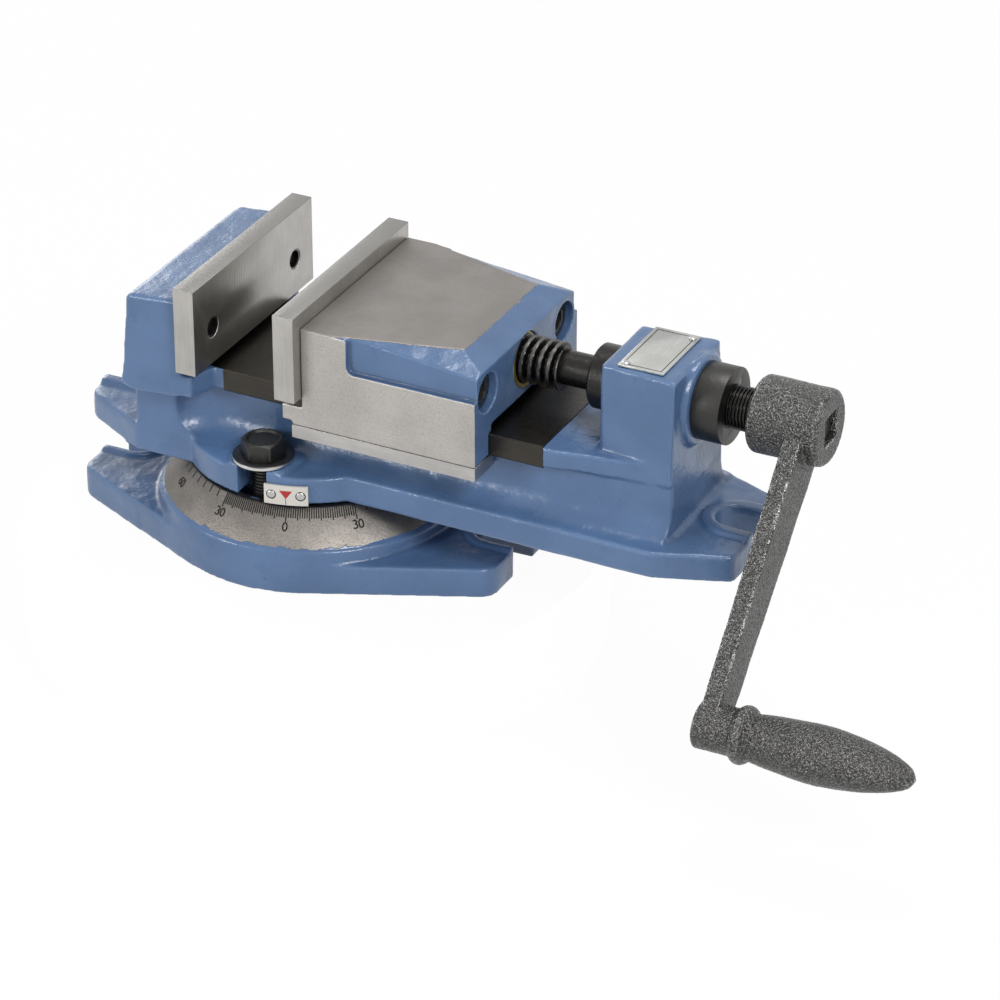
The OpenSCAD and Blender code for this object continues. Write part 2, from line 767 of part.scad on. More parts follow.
module fixed_jaw_plate() color(steel) translate([fixed_face_x, 0, 0]) jaw_plate(0);

module moving_jaw_plate() color(steel) translate([moving_grip_x, 0, 0]) jaw_plate(plate_shift);

// A socket head screw along X: the head starts at x = 0, the thread runs to x = reach
module cap_screw(reach) {
    socket_r = cap_socket_af / 2 / cos(30);
    difference() {
        bar_x(0, cap_head_h, cap_head_r);
        translate([-over, 0, 0]) rotate([0, 90, 0])
            cylinder(r = socket_r, h = over + cap_head_h / 2, $fn = 6);
    }
    bar_x(cap_head_h, reach, plate_screw_r);
}

module fixed_jaw_screws() color(black_oxide) {
    head_x = fixed_head_x - cap_head_h;
    for (side = [-1, 1]) translate([head_x, side * plate_screw_y, plate_screw_z])
        cap_screw(-grip_x - head_x - plate_t / 4);
}

module moving_jaw_screws() color(black_oxide) {
    tip_x = moving_grip_x + plate_t / 4;
    head_x = slider_head_x + cap_head_h;
    for (side = [-1, 1]) translate([head_x, side * plate_screw_y, plate_screw_z])
        mirror([1, 0, 0]) cap_screw(head_x - tip_x);
}

// Moving jaw

module slider_side_outline() {
    nose_bottom = way_bottom + plate_lift / 2;
    nose_x = slider_x - nose_l;
    polygon([
        [nose_x, nose_bottom], [nose_x, way_top - over], [slider_x, way_top - over],
        [slider_x, slider_top], [slider_end - rear_bevel_l, slider_top],
        [slider_end, slider_top - rear_bevel_h], [slider_end, way_bottom],
        [keeper_x, way_bottom], [keeper_x, nose_bottom]
    ]);
}

// Everything above the rounded line on the side that the cast shoulder cuts away
module shoulder_outline() {
    z = way_top + shoulder_rise;
    start_x = slider_x + slider_square_l;
    corner = slider_rise - shoulder_rise;
    polygon(concat(
        arc(start_x + corner, z + corner, corner, 180, 270, 10),
        [[slider_end + over, z], [slider_end + over, slider_top + over], [start_x, slider_top + over]]
    ));
}

module shoulder_cuts() {
    start_x = slider_x + slider_square_l;
    run = slider_l - slider_square_l - rear_bevel_l;
    heading = atan2(top_taper, run);
    big = slider_l;
    // The side wall steps in above the shoulder line
    translate([0, -slider_half - over, 0]) rotate([90, 0, 0]) translate([0, 0, -over - shoulder_step])
        linear_extrude(height = shoulder_step + over) shoulder_outline();
    // The painted slope beside the machined top
    translate([start_x, -slider_half + shoulder_step, slider_top]) rotate([0, 0, heading])
        rotate([shoulder_slope, 0, 0]) translate([-big / 4, -big / 2, 0]) cube([2 * big, big / 2, big / 4]);
}

module slider_hollow() {
    inner_x = slider_x + front_wall;
    translate([inner_x, -hollow_half, way_bottom - over])
        cube([slider_end - nut_wall - inner_x, 2 * hollow_half, slider_top - roof_h - way_bottom + over]);
}

module moving_jaw() color(steel) {
    channel_half = way_half + slide_gap;
    difference() {
        across(slider_half) slider_side_outline();
        both_sides() shoulder_cuts();
        // The channel that runs on the way
        translate([moving_grip_x - over, -channel_half, way_bottom - over])
            cube([slider_end - moving_grip_x + 2 * over, 2 * channel_half, way_edge_h + slide_gap + over]);
        translate([slider_end - nut_wall, -rear_notch_w / 2, way_top - over])
            cube([nut_wall + over, rear_notch_w, rear_notch_h + over]);
        slider_hollow();
        translate([0, 0, screw_z]) {
            bar_x(slider_end - nut_wall - over, slider_end - nut_lip, nut_r);
            // The screw's way through the jaw, covered by the jaw plate at the front
            bar_x(slider_x - over, slider_end + over, screw_r + screw_room);
        }
        for (side = [-1, 1]) translate([0, side * plate_screw_y, plate_screw_z]) {
            bar_x(slider_x - over, slider_head_x + over, plate_screw_r + screw_gap);
            bar_x(slider_head_x, slider_end + over, counterbore_r);
        }
        keeper_screw_places() cylinder(r = keeper_screw_r + run_gap, h = keeper_h + keeper_thread_l);
    }
}

module lead_nut() color("peru") translate([0, 0, screw_z]) difference() {
    bar_x(slider_end - nut_wall, slider_end - nut_lip, nut_r);
    bar_x(slider_end - nut_wall - over, slider_end + over, screw_r + run_gap);
}

// Keeper plates under the way

module keeper_screw_places() {
    pitch = (slider_end - keeper_x) / keeper_screws_each;
    y = (slider_half + way_half) / 2;
    for (side = [-1, 1], i = [0 : keeper_screws_each - 1])
        translate([keeper_x + pitch * (i + 0.5), side * y, keeper_bottom]) children();
}

module keeper_plate() {
    difference() {
        translate([keeper_x, -slider_half, keeper_bottom])
            cube([slider_end - keeper_x, slider_half - way_half + keeper_hook, keeper_h]);
        keeper_screw_places() {
            translate([0, 0, -over]) cylinder(r = keeper_screw_r + screw_gap, h = keeper_h + 2 * over);
            translate([0, 0, -over]) cylinder(r = keeper_head_r + screw_gap, h = keeper_head_h + over);
        }
    }
}

module front_keeper_plate() color(steel) keeper_plate();

module rear_keeper_plate() color(steel) mirror([0, 1, 0]) keeper_plate();

module keeper_screws() color(black_oxide) keeper_screw_places() {
    difference() {
        cylinder(r = keeper_head_r, h = keeper_head_h);
        translate([0, 0, -over]) cylinder(r = keeper_screw_r, h = over + keeper_head_h / 2, $fn = 6);
    }
    cylinder(r = keeper_screw_r, h = keeper_h + keeper_thread_l - over);
}

// Screw, lock ring and crank

module square_end(width) {
    translate([stub_end - over, -width / 2, -width / 2]) cube([hub_l, width, width]);
}

module lead_screw() color(black_oxide) translate([0, 0, screw_z]) difference() {
    union() {
        bar_x(screw_start_x, thread_end_x, screw_r);
        bar_x(thread_end_x - over, collar_x + over, neck_r);
        bar_x(collar_x, collar_x + collar_l, collar_r);
        bar_x(collar_x + collar_l - over, stub_end, journal_r);
        square_end(socket_af - 2 * run_gap);
    }
    ring_pin_place() cylinder(r = ring_pin_r, h = ring_l / 2 + stub_l);
}

// The locking pin lies partly in the thread and partly in the ring, in a hole drilled from the right
module ring_pin_place() {
    rotate([-ring_pin_angle, 0, 0]) translate([ring_end - ring_l / 2, 0, journal_r + ring_pin_r / 2])
        rotate([0, 90, 0]) children();
}

module lock_ring() color(black_oxide) translate([0, 0, screw_z]) difference() {
    bar_x(ring_x, ring_end, ring_r);
    bar_x(ring_x - over, ring_end + over, journal_r + run_gap);
    ring_pin_place() cylinder(r = ring_pin_r, h = ring_l);
}

module lock_ring_pin() color(steel) translate([0, 0, screw_z])
    ring_pin_place() cylinder(r = ring_pin_r - run_gap, h = ring_l / 2);

// Radius of the grip at share t of its length: it swells to its middle and closes to a round tip
function grip_shape(t) = t > grip_swell_share
    ? grip_r * sqrt(1 - pow((t - grip_swell_share) / (1 - grip_swell_share), grip_tip_share))
    : grip_r * sqrt(1 - grip_foot_share * pow(1 - t / grip_swell_share, grip_tip_share));

module grip_profile() {
    neck_radius = bead_r - bead_w / 2;
    steps = 24;
    polygon(concat(
        [[0, -over], [neck_radius, -over], [neck_radius, bead_w]],
        [for (i = [0 : steps]) [grip_shape(i / steps), bead_w + grip_l * i / steps]]
    ));
    translate([neck_radius, bead_w / 2]) circle(r = bead_w / 2, $fn = 48);
}

// A bar along X with bevelled ends
module bevelled_bar(x0, x1, r, bevel) {
    bar_x(x0 + bevel, x1 - bevel, r);
    translate([x0, 0, 0]) rotate([0, 90, 0]) cylinder(r1 = r - bevel, r2 = r, h = bevel);
    translate([x1 - bevel, 0, 0]) rotate([0, 90, 0]) cylinder(r1 = r, r2 = r - bevel, h = bevel);
}

module crank() color([0.28, 0.28, 0.29]) translate([0, 0, screw_z]) rotate([-crank_angle, 0, 0]) {
    arm_x = hub_end - arm_t - (hub_l - arm_t) / 4;
    difference() {
        union() {
            bevelled_bar(stub_end, hub_end, hub_r, hub_bevel);
            // Arm, narrowing to the grip
            translate([arm_x, 0, 0]) rotate([90, 0, 90]) linear_extrude(height = arm_t) {
                polygon([
                    [-arm_hub_w / 2, 0], [-arm_end_w / 2, -crank_r],
                    [arm_end_w / 2, -crank_r], [arm_hub_w / 2, 0]
                ]);
            }
            translate([0, 0, -crank_r]) bar_x(arm_x - slot_rim_h, hub_end, end_boss_r);
            translate([hub_end, 0, -crank_r]) rotate([0, 90, 0]) rotate_extrude() grip_profile();
        }
        rotate([crank_angle, 0, 0]) translate([0, -socket_af / 2, -socket_af / 2])
            translate([stub_end - over, 0, 0]) cube([hub_l + 2 * over, socket_af, socket_af]);
    }
}

// Sheet plates and rivets

module pointer_plate() color("white") difference() {
    start = -90 + pointer_angle - pointer_span / 2;
    translate([0, 0, flange_bottom]) rotate([0, 0, start]) rotate_extrude(angle = pointer_span, $fn = 180)
        translate([lug_r + run_gap, 0]) square([sheet_t, pointer_h]);
    pointer_rivet_places() cylinder(r = rivet_r + run_gap, h = rivet_l + over + sheet_t);
}

// Each rivet place has its Z axis pointing outwards, with its shank's end at the origin
module pointer_rivet_places() {
    z = flange_bottom + pointer_h / 2;
    for (side = [-1, 1]) rotate([0, 0, -90 + pointer_angle + side * pointer_span / 3])
        translate([lug_r + run_gap + sheet_t - rivet_l, 0, z]) rotate([0, 90, 0]) children();
}

module rivet() {
    cylinder(r = rivet_r, h = rivet_l);
    translate([0, 0, rivet_l]) cylinder(r1 = rivet_head_r, r2 = rivet_r, h = sheet_t / 2, $fn = 48);
}

module pointer_rivets() color(steel) pointer_rivet_places() rivet();

module name_plate() color("gainsboro") difference() {
    middle_x = block_x + block_l / 2;
    translate([middle_x - name_w / 2, -block_shift - name_l / 2, block_top])
        cube([name_w, name_l, sheet_t]);
    name_rivet_places() cylinder(r = rivet_r + run_gap, h = rivet_l + over);
}

module name_rivet_places() {
    middle_x = block_x + block_l / 2;
    inset = rivet_head_r + sheet_t;
    z = block_top + sheet_t - rivet_l;
    for (side = [-1, 1])
        translate([middle_x + side * (name_w / 2 - inset), side * (name_l / 2 - inset) - block_shift, z])
            children();
}

module name_plate_rivets() color(steel) name_rivet_places() rivet();

swivel_base();
pivot_pin();
tee_nuts();
front_clamp_bolt();
rear_clamp_bolt();
clamp_washers();
vise_body();
fixed_jaw_plate();
fixed_jaw_screws();
moving_jaw();
moving_jaw_plate();
moving_jaw_screws();
front_keeper_plate();
rear_keeper_plate();
keeper_screws();
lead_nut();
lead_screw();
lock_ring();
lock_ring_pin();
crank();
pointer_plate();
pointer_rivets();
name_plate();
name_plate_rivets();
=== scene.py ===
"""The finished look of a swivel machine vise: castings, machined faces, screw, crank, plates and scale."""

import math

import bmesh
import bpy
import numpy as np
from mathutils import Matrix, Vector


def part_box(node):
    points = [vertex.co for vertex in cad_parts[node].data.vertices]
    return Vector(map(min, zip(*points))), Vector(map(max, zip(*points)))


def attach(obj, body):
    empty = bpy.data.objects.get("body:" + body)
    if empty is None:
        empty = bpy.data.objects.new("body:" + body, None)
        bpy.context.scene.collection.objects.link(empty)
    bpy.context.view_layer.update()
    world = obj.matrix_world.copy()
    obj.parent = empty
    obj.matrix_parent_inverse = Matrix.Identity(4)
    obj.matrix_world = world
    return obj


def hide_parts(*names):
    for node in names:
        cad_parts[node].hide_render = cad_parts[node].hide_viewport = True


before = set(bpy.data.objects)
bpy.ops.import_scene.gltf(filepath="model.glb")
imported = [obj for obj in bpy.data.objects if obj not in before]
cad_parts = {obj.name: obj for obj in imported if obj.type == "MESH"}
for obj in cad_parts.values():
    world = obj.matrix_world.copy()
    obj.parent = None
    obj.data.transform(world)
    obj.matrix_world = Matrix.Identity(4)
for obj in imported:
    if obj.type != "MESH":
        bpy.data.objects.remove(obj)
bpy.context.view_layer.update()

MM = 0.001
TURN = 2 * math.pi


# Sizes read from the CAD nodes


def corners(node):
    """The lowest and highest corner of a CAD node, as two arrays in metres."""
    low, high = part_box(node)
    return np.array(low), np.array(high)


base_high = corners("swivel_base")[1]
jaw_high = corners("moving_jaw")[1]
fixed_high = corners("fixed_jaw_plate")[1]
plate_high = corners("moving_jaw_plate")[1]
washer_high = corners("clamp_washers")[1]
crank_low = corners("crank")[0]
screw_low, screw_high = corners("lead_screw")
ring_low, ring_high = corners("lock_ring")
name_low, name_high = corners("name_plate")
pointer_low, pointer_high = corners("pointer_plate")
cap_low, cap_high = corners("moving_jaw_screws")

way_top = jaw_high[2] - 35.1 * MM
way_half = 33.4 * MM
way_top_start_x = -36.2 * MM
way_side_start_x = -23.5 * MM
way_end_x = 123 * MM
way_edge = 9.7 * MM
axis_z = (ring_low[2] + ring_high[2]) / 2
shoulder_z = way_top + 19.3 * MM
SCREW_R = 10 * MM
TAPPED_R = 4.55 * MM
CONE_FOOT_Z = 19.5 * MM


# Mesh helpers


def added(name, data):
    """A new object in the scene, made of some data."""
    piece = bpy.data.objects.new(name, data)
    bpy.context.scene.collection.objects.link(piece)
    return piece


def mesh_object(name, points, faces):
    """A mesh object from an array of points and a list or array of faces."""
    mesh = bpy.data.meshes.new(name)
    loops = [list(map(int, face)) for face in faces]
    mesh.from_pydata(np.asarray(points, float).reshape(-1, 3).tolist(), [], loops)
    mesh.validate()
    mesh.update()
    return added(name, mesh)


def grid_faces(rows, columns, wrap_rows=False, wrap_columns=False):
    """The quads of a grid of points stored row by row, joined up where it wraps."""
    row, column = np.indices((rows - (not wrap_rows), columns - (not wrap_columns))).reshape(2, -1)
    here, below = row * columns, (row + 1) % rows * columns
    beside = (column + 1) % columns
    return np.stack([here + column, below + column, below + beside, here + beside], 1)


def shade(piece, angle=None):
    """Smooth shading, with edges sharper than the angle kept."""
    mesh = piece.data
    mesh.polygons.foreach_set("use_smooth", np.ones(len(mesh.polygons), bool))
    if angle is not None:
        mesh.set_sharp_from_angle(angle=math.radians(angle))
    return piece


def outward(piece):
    """Merges doubles and turns every face outwards."""
    bm = bmesh.new()
    bm.from_mesh(piece.data)
    bmesh.ops.remove_doubles(bm, verts=bm.verts, dist=1e-6)
    bmesh.ops.recalc_face_normals(bm, faces=bm.faces)
    bm.to_mesh(piece.data)
    bm.free()
    return piece


def facing_out(piece, middle=(0, 0, 0), across=(1, 1, 0)):
    """Turns round the faces of an open skin that look towards its middle: the swivel axis, or a point where
    across is 1 for all three axes."""
    bm = bmesh.new()
    bm.from_mesh(piece.data)
    bm.normal_update()
    middle, across = Vector(middle), Vector(across)
    wrong = [face for face in bm.faces
             if face.normal.dot((face.calc_center_median() - middle) * across) < 0]
    bmesh.ops.reverse_faces(bm, faces=wrong)
    bm.to_mesh(piece.data)
    bm.free()
    return piece


def tube(name, points):
    """A closed skin from rows of points: each row is a ring, joined to the next, and both ends are shut."""
    rows, sides = points.shape[:2]
    last = (rows - 1) * sides
    ends = [list(range(sides)), list(range(last, last + sides))]
    return outward(mesh_object(name, points, grid_faces(rows, sides, wrap_columns=True).tolist() + ends))


def fixed_mesh(piece):
    """Applies the piece's modifiers to its mesh."""
    graph = bpy.context.evaluated_depsgraph_get()
    mesh = bpy.data.meshes.new_from_object(piece.evaluated_get(graph))
    piece.modifiers.clear()
    piece.data = mesh


def cad_copy(name, node):
    """A copy of a CAD node's mesh with its loose triangles merged."""
    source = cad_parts[node]
    mesh = bpy.data.meshes.new(name)
    bm = bmesh.new()
    bm.from_mesh(source.data)
    bmesh.ops.remove_doubles(bm, verts=bm.verts, dist=2e-6)
    bm.to_mesh(mesh)
    bm.free()
    mesh.materials.clear()
    return added(name, mesh)


def bevelled(name, node, width, segments=2):
    """A CAD node's copy with flat faces made whole and its edges broken by a small bevel."""
    piece = cad_copy(name, node)
    bm = bmesh.new()
    bm.from_mesh(piece.data)
    bmesh.ops.dissolve_limit(bm, angle_limit=math.radians(1), verts=bm.verts, edges=bm.edges)
    bm.to_mesh(piece.data)
    bm.free()
    bevel = piece.modifiers.new("broken edges", "BEVEL")
    bevel.width = width
    bevel.segments = segments
    bevel.limit_method = "ANGLE"
    bevel.angle_limit = math.radians(32)
    bevel.use_clamp_overlap = True
    bevel.harden_normals = False
    fixed_mesh(piece)
    return shade(piece, 40)


def waves(points, size, seed, count=28):
    """A smooth random field about 1 high: plane waves of about the given length in random directions."""
    rng = np.random.default_rng(seed)
    direction = rng.normal(size=(count, 3))
    direction /= np.linalg.norm(direction, axis=1)[:, None]
    length = size * rng.uniform(0.6, 1.8, count)
    phase = rng.uniform(0, TURN, count)
    field = np.sin(points @ (direction * (TURN / length)[:, None]).T + phase)
    return field.sum(1) / math.sqrt(count / 2)


def at_points(mesh, kind):
    """What a mesh has at its points: their places for the kind "co", and their normals for "normal"."""
    values = np.zeros(len(mesh.vertices) * 3, np.float32)
    mesh.vertices.foreach_get(kind, values)
    return values.reshape(-1, 3).astype(float)


def neighbour_mean(mesh):
    """A function that gives, for each point, the mean of its neighbours' values."""
    edges = np.zeros(len(mesh.edges) * 2, np.int32)
    mesh.edges.foreach_get("vertices", edges)
    a, b = edges.reshape(-1, 2).T
    size = len(mesh.vertices)
    count = np.bincount(np.r_[a, b], minlength=size)

    def mean(values):
        return (np.bincount(a, values[b], size) + np.bincount(b, values[a], size)) / count

    return mean


def middles(mean, points):
    """The middle of each point's neighbours."""
    return np.stack([mean(points[:, k]) for k in range(3)], 1)


def relaxed(mean, points, weight, rounds):
    """Moves each point half way to the middle of its neighbours, times its weight, in a number of rounds."""
    for _ in range(rounds):
        points = points + 0.5 * weight[:, None] * (middles(mean, points) - points)
    return points


def set_points(mesh, points):
    """Moves a mesh's points to new places."""
    mesh.vertices.foreach_set("co", points.astype(np.float32).ravel())
    mesh.update()


def mark_edges(mesh, mean, points, voxel, rounds=3):
    """Keeps the skin's curvature at each point, per millimetre: above 0 along outer edges and below 0 in
    hollows. It is four times the point's height over its neighbours' middle, over the voxel's area."""
    bend = 4 * MM * ((points - middles(mean, points)) * at_points(mesh, "normal")).sum(1) / voxel ** 2
    for _ in range(rounds):
        bend = 0.5 * bend + 0.5 * mean(bend)
    store = mesh.attributes.new("edge", "FLOAT", "POINT")
    store.data.foreach_set("value", np.clip(bend, -1, 1).astype(np.float32))


MOST_TRIANGLES = 190000
FACE_SHARE = 0.12
FACE_ROUNDS = 2
BROAD_WAVE = 22 * MM
FINE_WAVE = 9 * MM
GRAIN_WAVES = 40


def casting(name, node, voxel, rounds, uneven, soft=None, seed=1, grain=None, sink=0.0, cutters=()):
    """A CAD node as a sand casting: remeshed in voxels, its edges and corners relaxed, its skin uneven but
    inside the node's box. soft gives, for an array of points, how much each belongs to the cast skin, from 0
    to 1, and the rest is sunk. grain is a finer roughness's size and height. cutters are taken out first."""
    piece = cad_copy(name, node)
    for cutter in cutters:
        cut = piece.modifiers.new("pocket", "BOOLEAN")
        cut.operation = "DIFFERENCE"
        cut.object = cutter
        cut.solver = "EXACT"
    remesh = piece.modifiers.new("skin", "REMESH")
    remesh.mode = "VOXEL"
    remesh.voxel_size = voxel
    remesh.adaptivity = 0
    fixed_mesh(piece)
    for cutter in cutters:
        bpy.data.objects.remove(cutter)
    mesh = piece.data
    mean = neighbour_mean(mesh)
    points = at_points(mesh, "co")
    share = soft(points) if soft else np.ones(len(points))
    points = relaxed(mean, points, np.maximum(share, FACE_SHARE), FACE_ROUNDS)
    points = relaxed(mean, points, share, rounds)
    set_points(mesh, points)
    mark_edges(mesh, mean, points, voxel)
    broad, fine = waves(points, BROAD_WAVE, seed), waves(points, FINE_WAVE, seed + 1)
    lift = uneven * (0.6 * broad + 0.3 * fine - 1)
    if grain:
        size, height = grain
        lift = lift + height * waves(points, size, seed + 2, GRAIN_WAVES)
    points = points + at_points(mesh, "normal") * (share * lift - (1 - share) * sink)[:, None]
    set_points(mesh, np.clip(points, *corners(node)))
    triangles = 2 * len(mesh.polygons)
    if triangles > MOST_TRIANGLES:
        fewer = piece.modifiers.new("fewer faces", "DECIMATE")
        fewer.ratio = MOST_TRIANGLES / triangles
        fixed_mesh(piece)
    return shade(piece)


def placed(length, across, up, along, middle):
    """Points from a length along an axis, x or z, and two distances across it, round a middle."""
    parts = {"x": (length, across, up), "z": (across, -up, length)}[along]
    return np.stack(np.broadcast_arrays(*parts), -1) + np.asarray(middle)


def turned(name, profile, middle=(0, 0, 0), along="x", sides=96):
    """A closed turned piece: a profile of (length, radius) pairs carried round an axis, its ends shut."""
    angle = np.linspace(0, TURN, sides, endpoint=False)
    length, radius = np.array(profile, float).T[:, :, None]
    return tube(name, placed(length, radius * np.sin(angle), radius * np.cos(angle), along, middle))


def hoop(name, section, middle=(0, 0, 0), along="x", sides=96):
    """A ring: a closed section of (length, radius) pairs carried round an axis."""
    angle = np.linspace(0, TURN, sides, endpoint=False)
    length, radius = np.array(section, float).T[:, :, None]
    points = placed(length, radius * np.sin(angle), radius * np.cos(angle), along, middle)
    return outward(mesh_object(name, points, grid_faces(len(section), sides, True, True)))


def chamfered_profile(start, end, radius, cut):
    """The profile of a bar with bevelled ends."""
    return [(start, radius - cut), (start + cut, radius), (end - cut, radius), (end, radius - cut)]


def thread(name, start, end, outer, root, pitch, hand, middle, along="x", sides=96, steps=16):
    """A helical thread as one closed skin. Its radius depends on the phase, which is the length over the
    pitch plus hand times the share of a turn: crest, flank, root and flank again, with rounded corners. A
    hand of -1 is left-handed along x and right-handed along z."""
    crest_share = 0.34
    flank_share = 0.34
    rows = int(round((end - start) / pitch * steps)) + 1
    length = np.linspace(start, end, rows)[:, None]
    angle = np.linspace(0, TURN, sides, endpoint=False)[None, :]
    phase = (length / pitch + hand * angle / TURN) % 1.0
    distance = np.abs(phase - 0.5) * 2
    flank = np.clip((distance - crest_share) / flank_share, 0, 1)
    radius = outer - (outer - root) * flank ** 2 * (3 - 2 * flank)
    return tube(name, placed(length, radius * np.sin(angle), radius * np.cos(angle), along, middle))


def hexagon_head(name, x, y, foot, top, apothem, turn, sides=144):
    """A hexagon head: at each level its radius is the smaller of the hexagon's own, which is the apothem
    over the cosine of the angle from a flat's middle, and a turned limit that bevels the corners and dishes
    the top."""
    angle = np.linspace(0, TURN, sides, endpoint=False)
    flat = apothem / np.cos((angle - math.radians(turn)) % (TURN / 6) - TURN / 12)
    crown = 0.92 * apothem
    bevel = 0.16 * apothem
    slope = math.tan(math.radians(30))
    rows = [(foot, apothem * 1.06), (foot + 0.3 * MM, apothem * 1.2)]
    rows += [(top - drop, crown + drop / slope) for drop in np.linspace(1, 0, 9) ** 1.4 * bevel]
    rows += [(top - dip * MM, share * apothem) for dip, share in ((0.1, 0.84), (1.0, 0.74), (1.2, 0.3))]
    level, limit = np.array(rows).T[:, :, None]
    radius = np.minimum(flat, limit)
    return tube(name, placed(level, radius * np.cos(angle), -radius * np.sin(angle), "z", (x, y, 0)))


def joined(name, pieces):
    """One object from several pieces' meshes, which takes their place."""
    bm = bmesh.new()
    for piece in pieces:
        bm.from_mesh(piece.data)
    mesh = bpy.data.meshes.new(name)
    bm.to_mesh(mesh)
    bm.free()
    for piece in pieces:
        bpy.data.objects.remove(piece)
    return added(name, mesh)


# Materials


class Value:
    """A number that varies over a surface: a shader socket that can be added, subtracted and multiplied."""

    def __init__(self, nodes, socket):
        self.nodes = nodes
        self.socket = socket

    def math(self, operation, *others):
        inputs = dict(enumerate((self, *others)))
        return self.nodes.node("ShaderNodeMath", {"operation": operation}, inputs)

    def __add__(self, other):
        return self.math("ADD", other)

    def __sub__(self, other):
        return self.math("SUBTRACT", other)

    def __rsub__(self, other):
        return self.math("MULTIPLY_ADD", -1.0, other)

    def __mul__(self, other):
        return self.math("MULTIPLY", other)

    __radd__ = __add__
    __rmul__ = __mul__

    def between(self, low, high):
        """0 below low, 1 above high, and smooth in between."""
        inputs = {"Value": self, "From Min": low, "From Max": high}
        settings = {"interpolation_type": "SMOOTHSTEP"}
        return self.nodes.node("ShaderNodeMapRange", settings, inputs)


class Nodes:
    """A shader tree under construction."""

    def __init__(self, tree):
        self.tree = tree

    def plug(self, socket, value):
        """Links a varying value to a socket, or sets a constant on it."""
        if isinstance(value, Value):
            self.tree.links.new(value.socket, socket)
        elif isinstance(value, (tuple, list)) and len(value) == 3 and len(socket.default_value) == 4:
            socket.default_value = (*value, 1.0)
        else:
            socket.default_value = value

    def node(self, kind, settings=None, inputs=None, out=0):
        """A new shader node's output."""
        made = self.tree.nodes.new(kind)
        for key, value in (settings or {}).items():
            setattr(made, key, value)
        for key, value in (inputs or {}).items():
            self.plug(made.inputs[key], value)
        return Value(self, made.outputs[out])


class Finish(Nodes):
    """A material under construction round one Principled shader."""

    def __init__(self, name, **constants):
        self.material = bpy.data.materials.new(name)
        self.material.use_nodes = True
        super().__init__(self.material.node_tree)
        self.shader = self.tree.nodes["Principled BSDF"]
        for socket, value in constants.items():
            self.set(socket.replace("_", " "), value)

    def set(self, socket, value):
        self.plug(self.shader.inputs[socket], value)

    def place(self, stretch=(1, 1, 1)):
        """Object coordinates, in metres, stretched per axis."""
        spot = self.node("ShaderNodeTexCoord", out="Object")
        return self.node("ShaderNodeMapping", inputs={"Vector": spot, "Scale": stretch})

    def axis(self, letter):
        """One of the object coordinates, in metres."""
        return self.node("ShaderNodeSeparateXYZ", inputs={"Vector": self.place()}, out="XYZ".index(letter))

    def mark(self, name):
        """A number kept at each point of the mesh."""
        return self.node("ShaderNodeAttribute", {"attribute_name": name}, out="Fac")

    def noise(self, size, detail=3, rough=0.55, warp=0.0, stretch=(1, 1, 1)):
        """Smooth noise with features of about the given size in metres."""
        inputs = {"Vector": self.place(stretch), "Scale": 1 / size, "Detail": detail, "Roughness": rough,
                  "Distortion": warp}
        return self.node("ShaderNodeTexNoise", {"noise_dimensions": "3D"}, inputs)

    def pits(self, size):
        """Distance to scattered points about the given size apart."""
        inputs = {"Vector": self.place(), "Scale": 1 / size, "Randomness": 1.0}
        return self.node("ShaderNodeTexVoronoi", {"feature": "F1"}, inputs)

    def blend(self, share, first, second):
        """A colour from first to second by share."""
        return self.node("ShaderNodeMix", {"data_type": "RGBA"}, {0: share, 6: first, 7: second}, out=2)

    def done(self, colour, rough, height, depth):
        """The material with its colour, its roughness and relief: a height from 0 to 1 stands for depth."""
        inputs = {"Height": height, "Distance": depth, "Strength": 1.0}
        self.set("Base Color", colour)
        self.set("Roughness", rough)
        self.set("Normal", self.node("ShaderNodeBump", inputs=inputs))
        return self.material


def either(first, second):
    """The greater of two shares."""
    return first.math("MAXIMUM", second)


def scaled(colour, share):
    """A colour times a share."""
    return tuple(share * part for part in colour)


PAINT_RELIEF = 0.8 * MM
STEEL_RELIEF = 0.14 * MM


def enamel_parts(finish):
    """Colour, roughness and relief of gloss blue enamel brushed over a sand casting: clouds, thin places,
    dark pinholes, outer edges painted lighter as a highlight where the paint is thin too, and hollows
    painted dark as shade where some paint gathers too."""
    broad = finish.noise(0.035, 2)
    thin = finish.noise(0.012, 5, 0.68, 0.4)
    skin = finish.noise(0.0018, 4, 0.6)
    runs = finish.noise(0.0095, 2, 0.45, 0.2)
    pinholes = 1 - finish.pits(0.0065).between(0.03, 0.055)
    edge = finish.mark("edge")
    colour = finish.blend(broad.between(0.32, 0.68), (0.076, 0.142, 0.276), (0.094, 0.170, 0.322))
    colour = finish.blend(thin.between(0.55, 0.75) * 0.5, colour, (0.060, 0.118, 0.238))
    colour = finish.blend(skin.between(0.45, 0.8) * 0.12, colour, (0.060, 0.115, 0.235))
    colour = finish.blend(pinholes * thin.between(0.45, 0.6) * 0.8, colour, (0.02, 0.035, 0.07))
    # Painted highlight: convex edges lightened to stand in for glints, with the paint also thin there.
    colour = finish.blend(edge.between(0.12, 0.7) * 0.4, colour, (0.19, 0.29, 0.47))
    # Painted shade: hollows darkened where shade falls, with some paint gathered there as well.
    colour = finish.blend((0 - edge).between(0.06, 0.5) * 0.7, colour, (0.030, 0.064, 0.140))
    rough = 0.17 + 0.12 * thin.between(0.3, 0.7)
    relief = 0.62 * runs + 0.17 * skin + 0.21 * thin
    return colour, rough, relief


def blue_enamel():
    """The enamel on the base and the body."""
    finish = Finish("blue_enamel", Specular_IOR_Level=0.5)
    return finish.done(*enamel_parts(finish), PAINT_RELIEF)


def half_painted(finish, bare, metal, rough, relief):
    """The material of a piece that is bare metal where bare is 1 and blue enamel where it is 0."""
    paint, paint_rough, paint_relief = enamel_parts(finish)
    finish.set("Metallic", bare)
    return finish.done(finish.blend(bare, paint, metal), bare * rough + (1 - bare) * paint_rough,
                       bare * relief + (1 - bare) * paint_relief, PAINT_RELIEF)


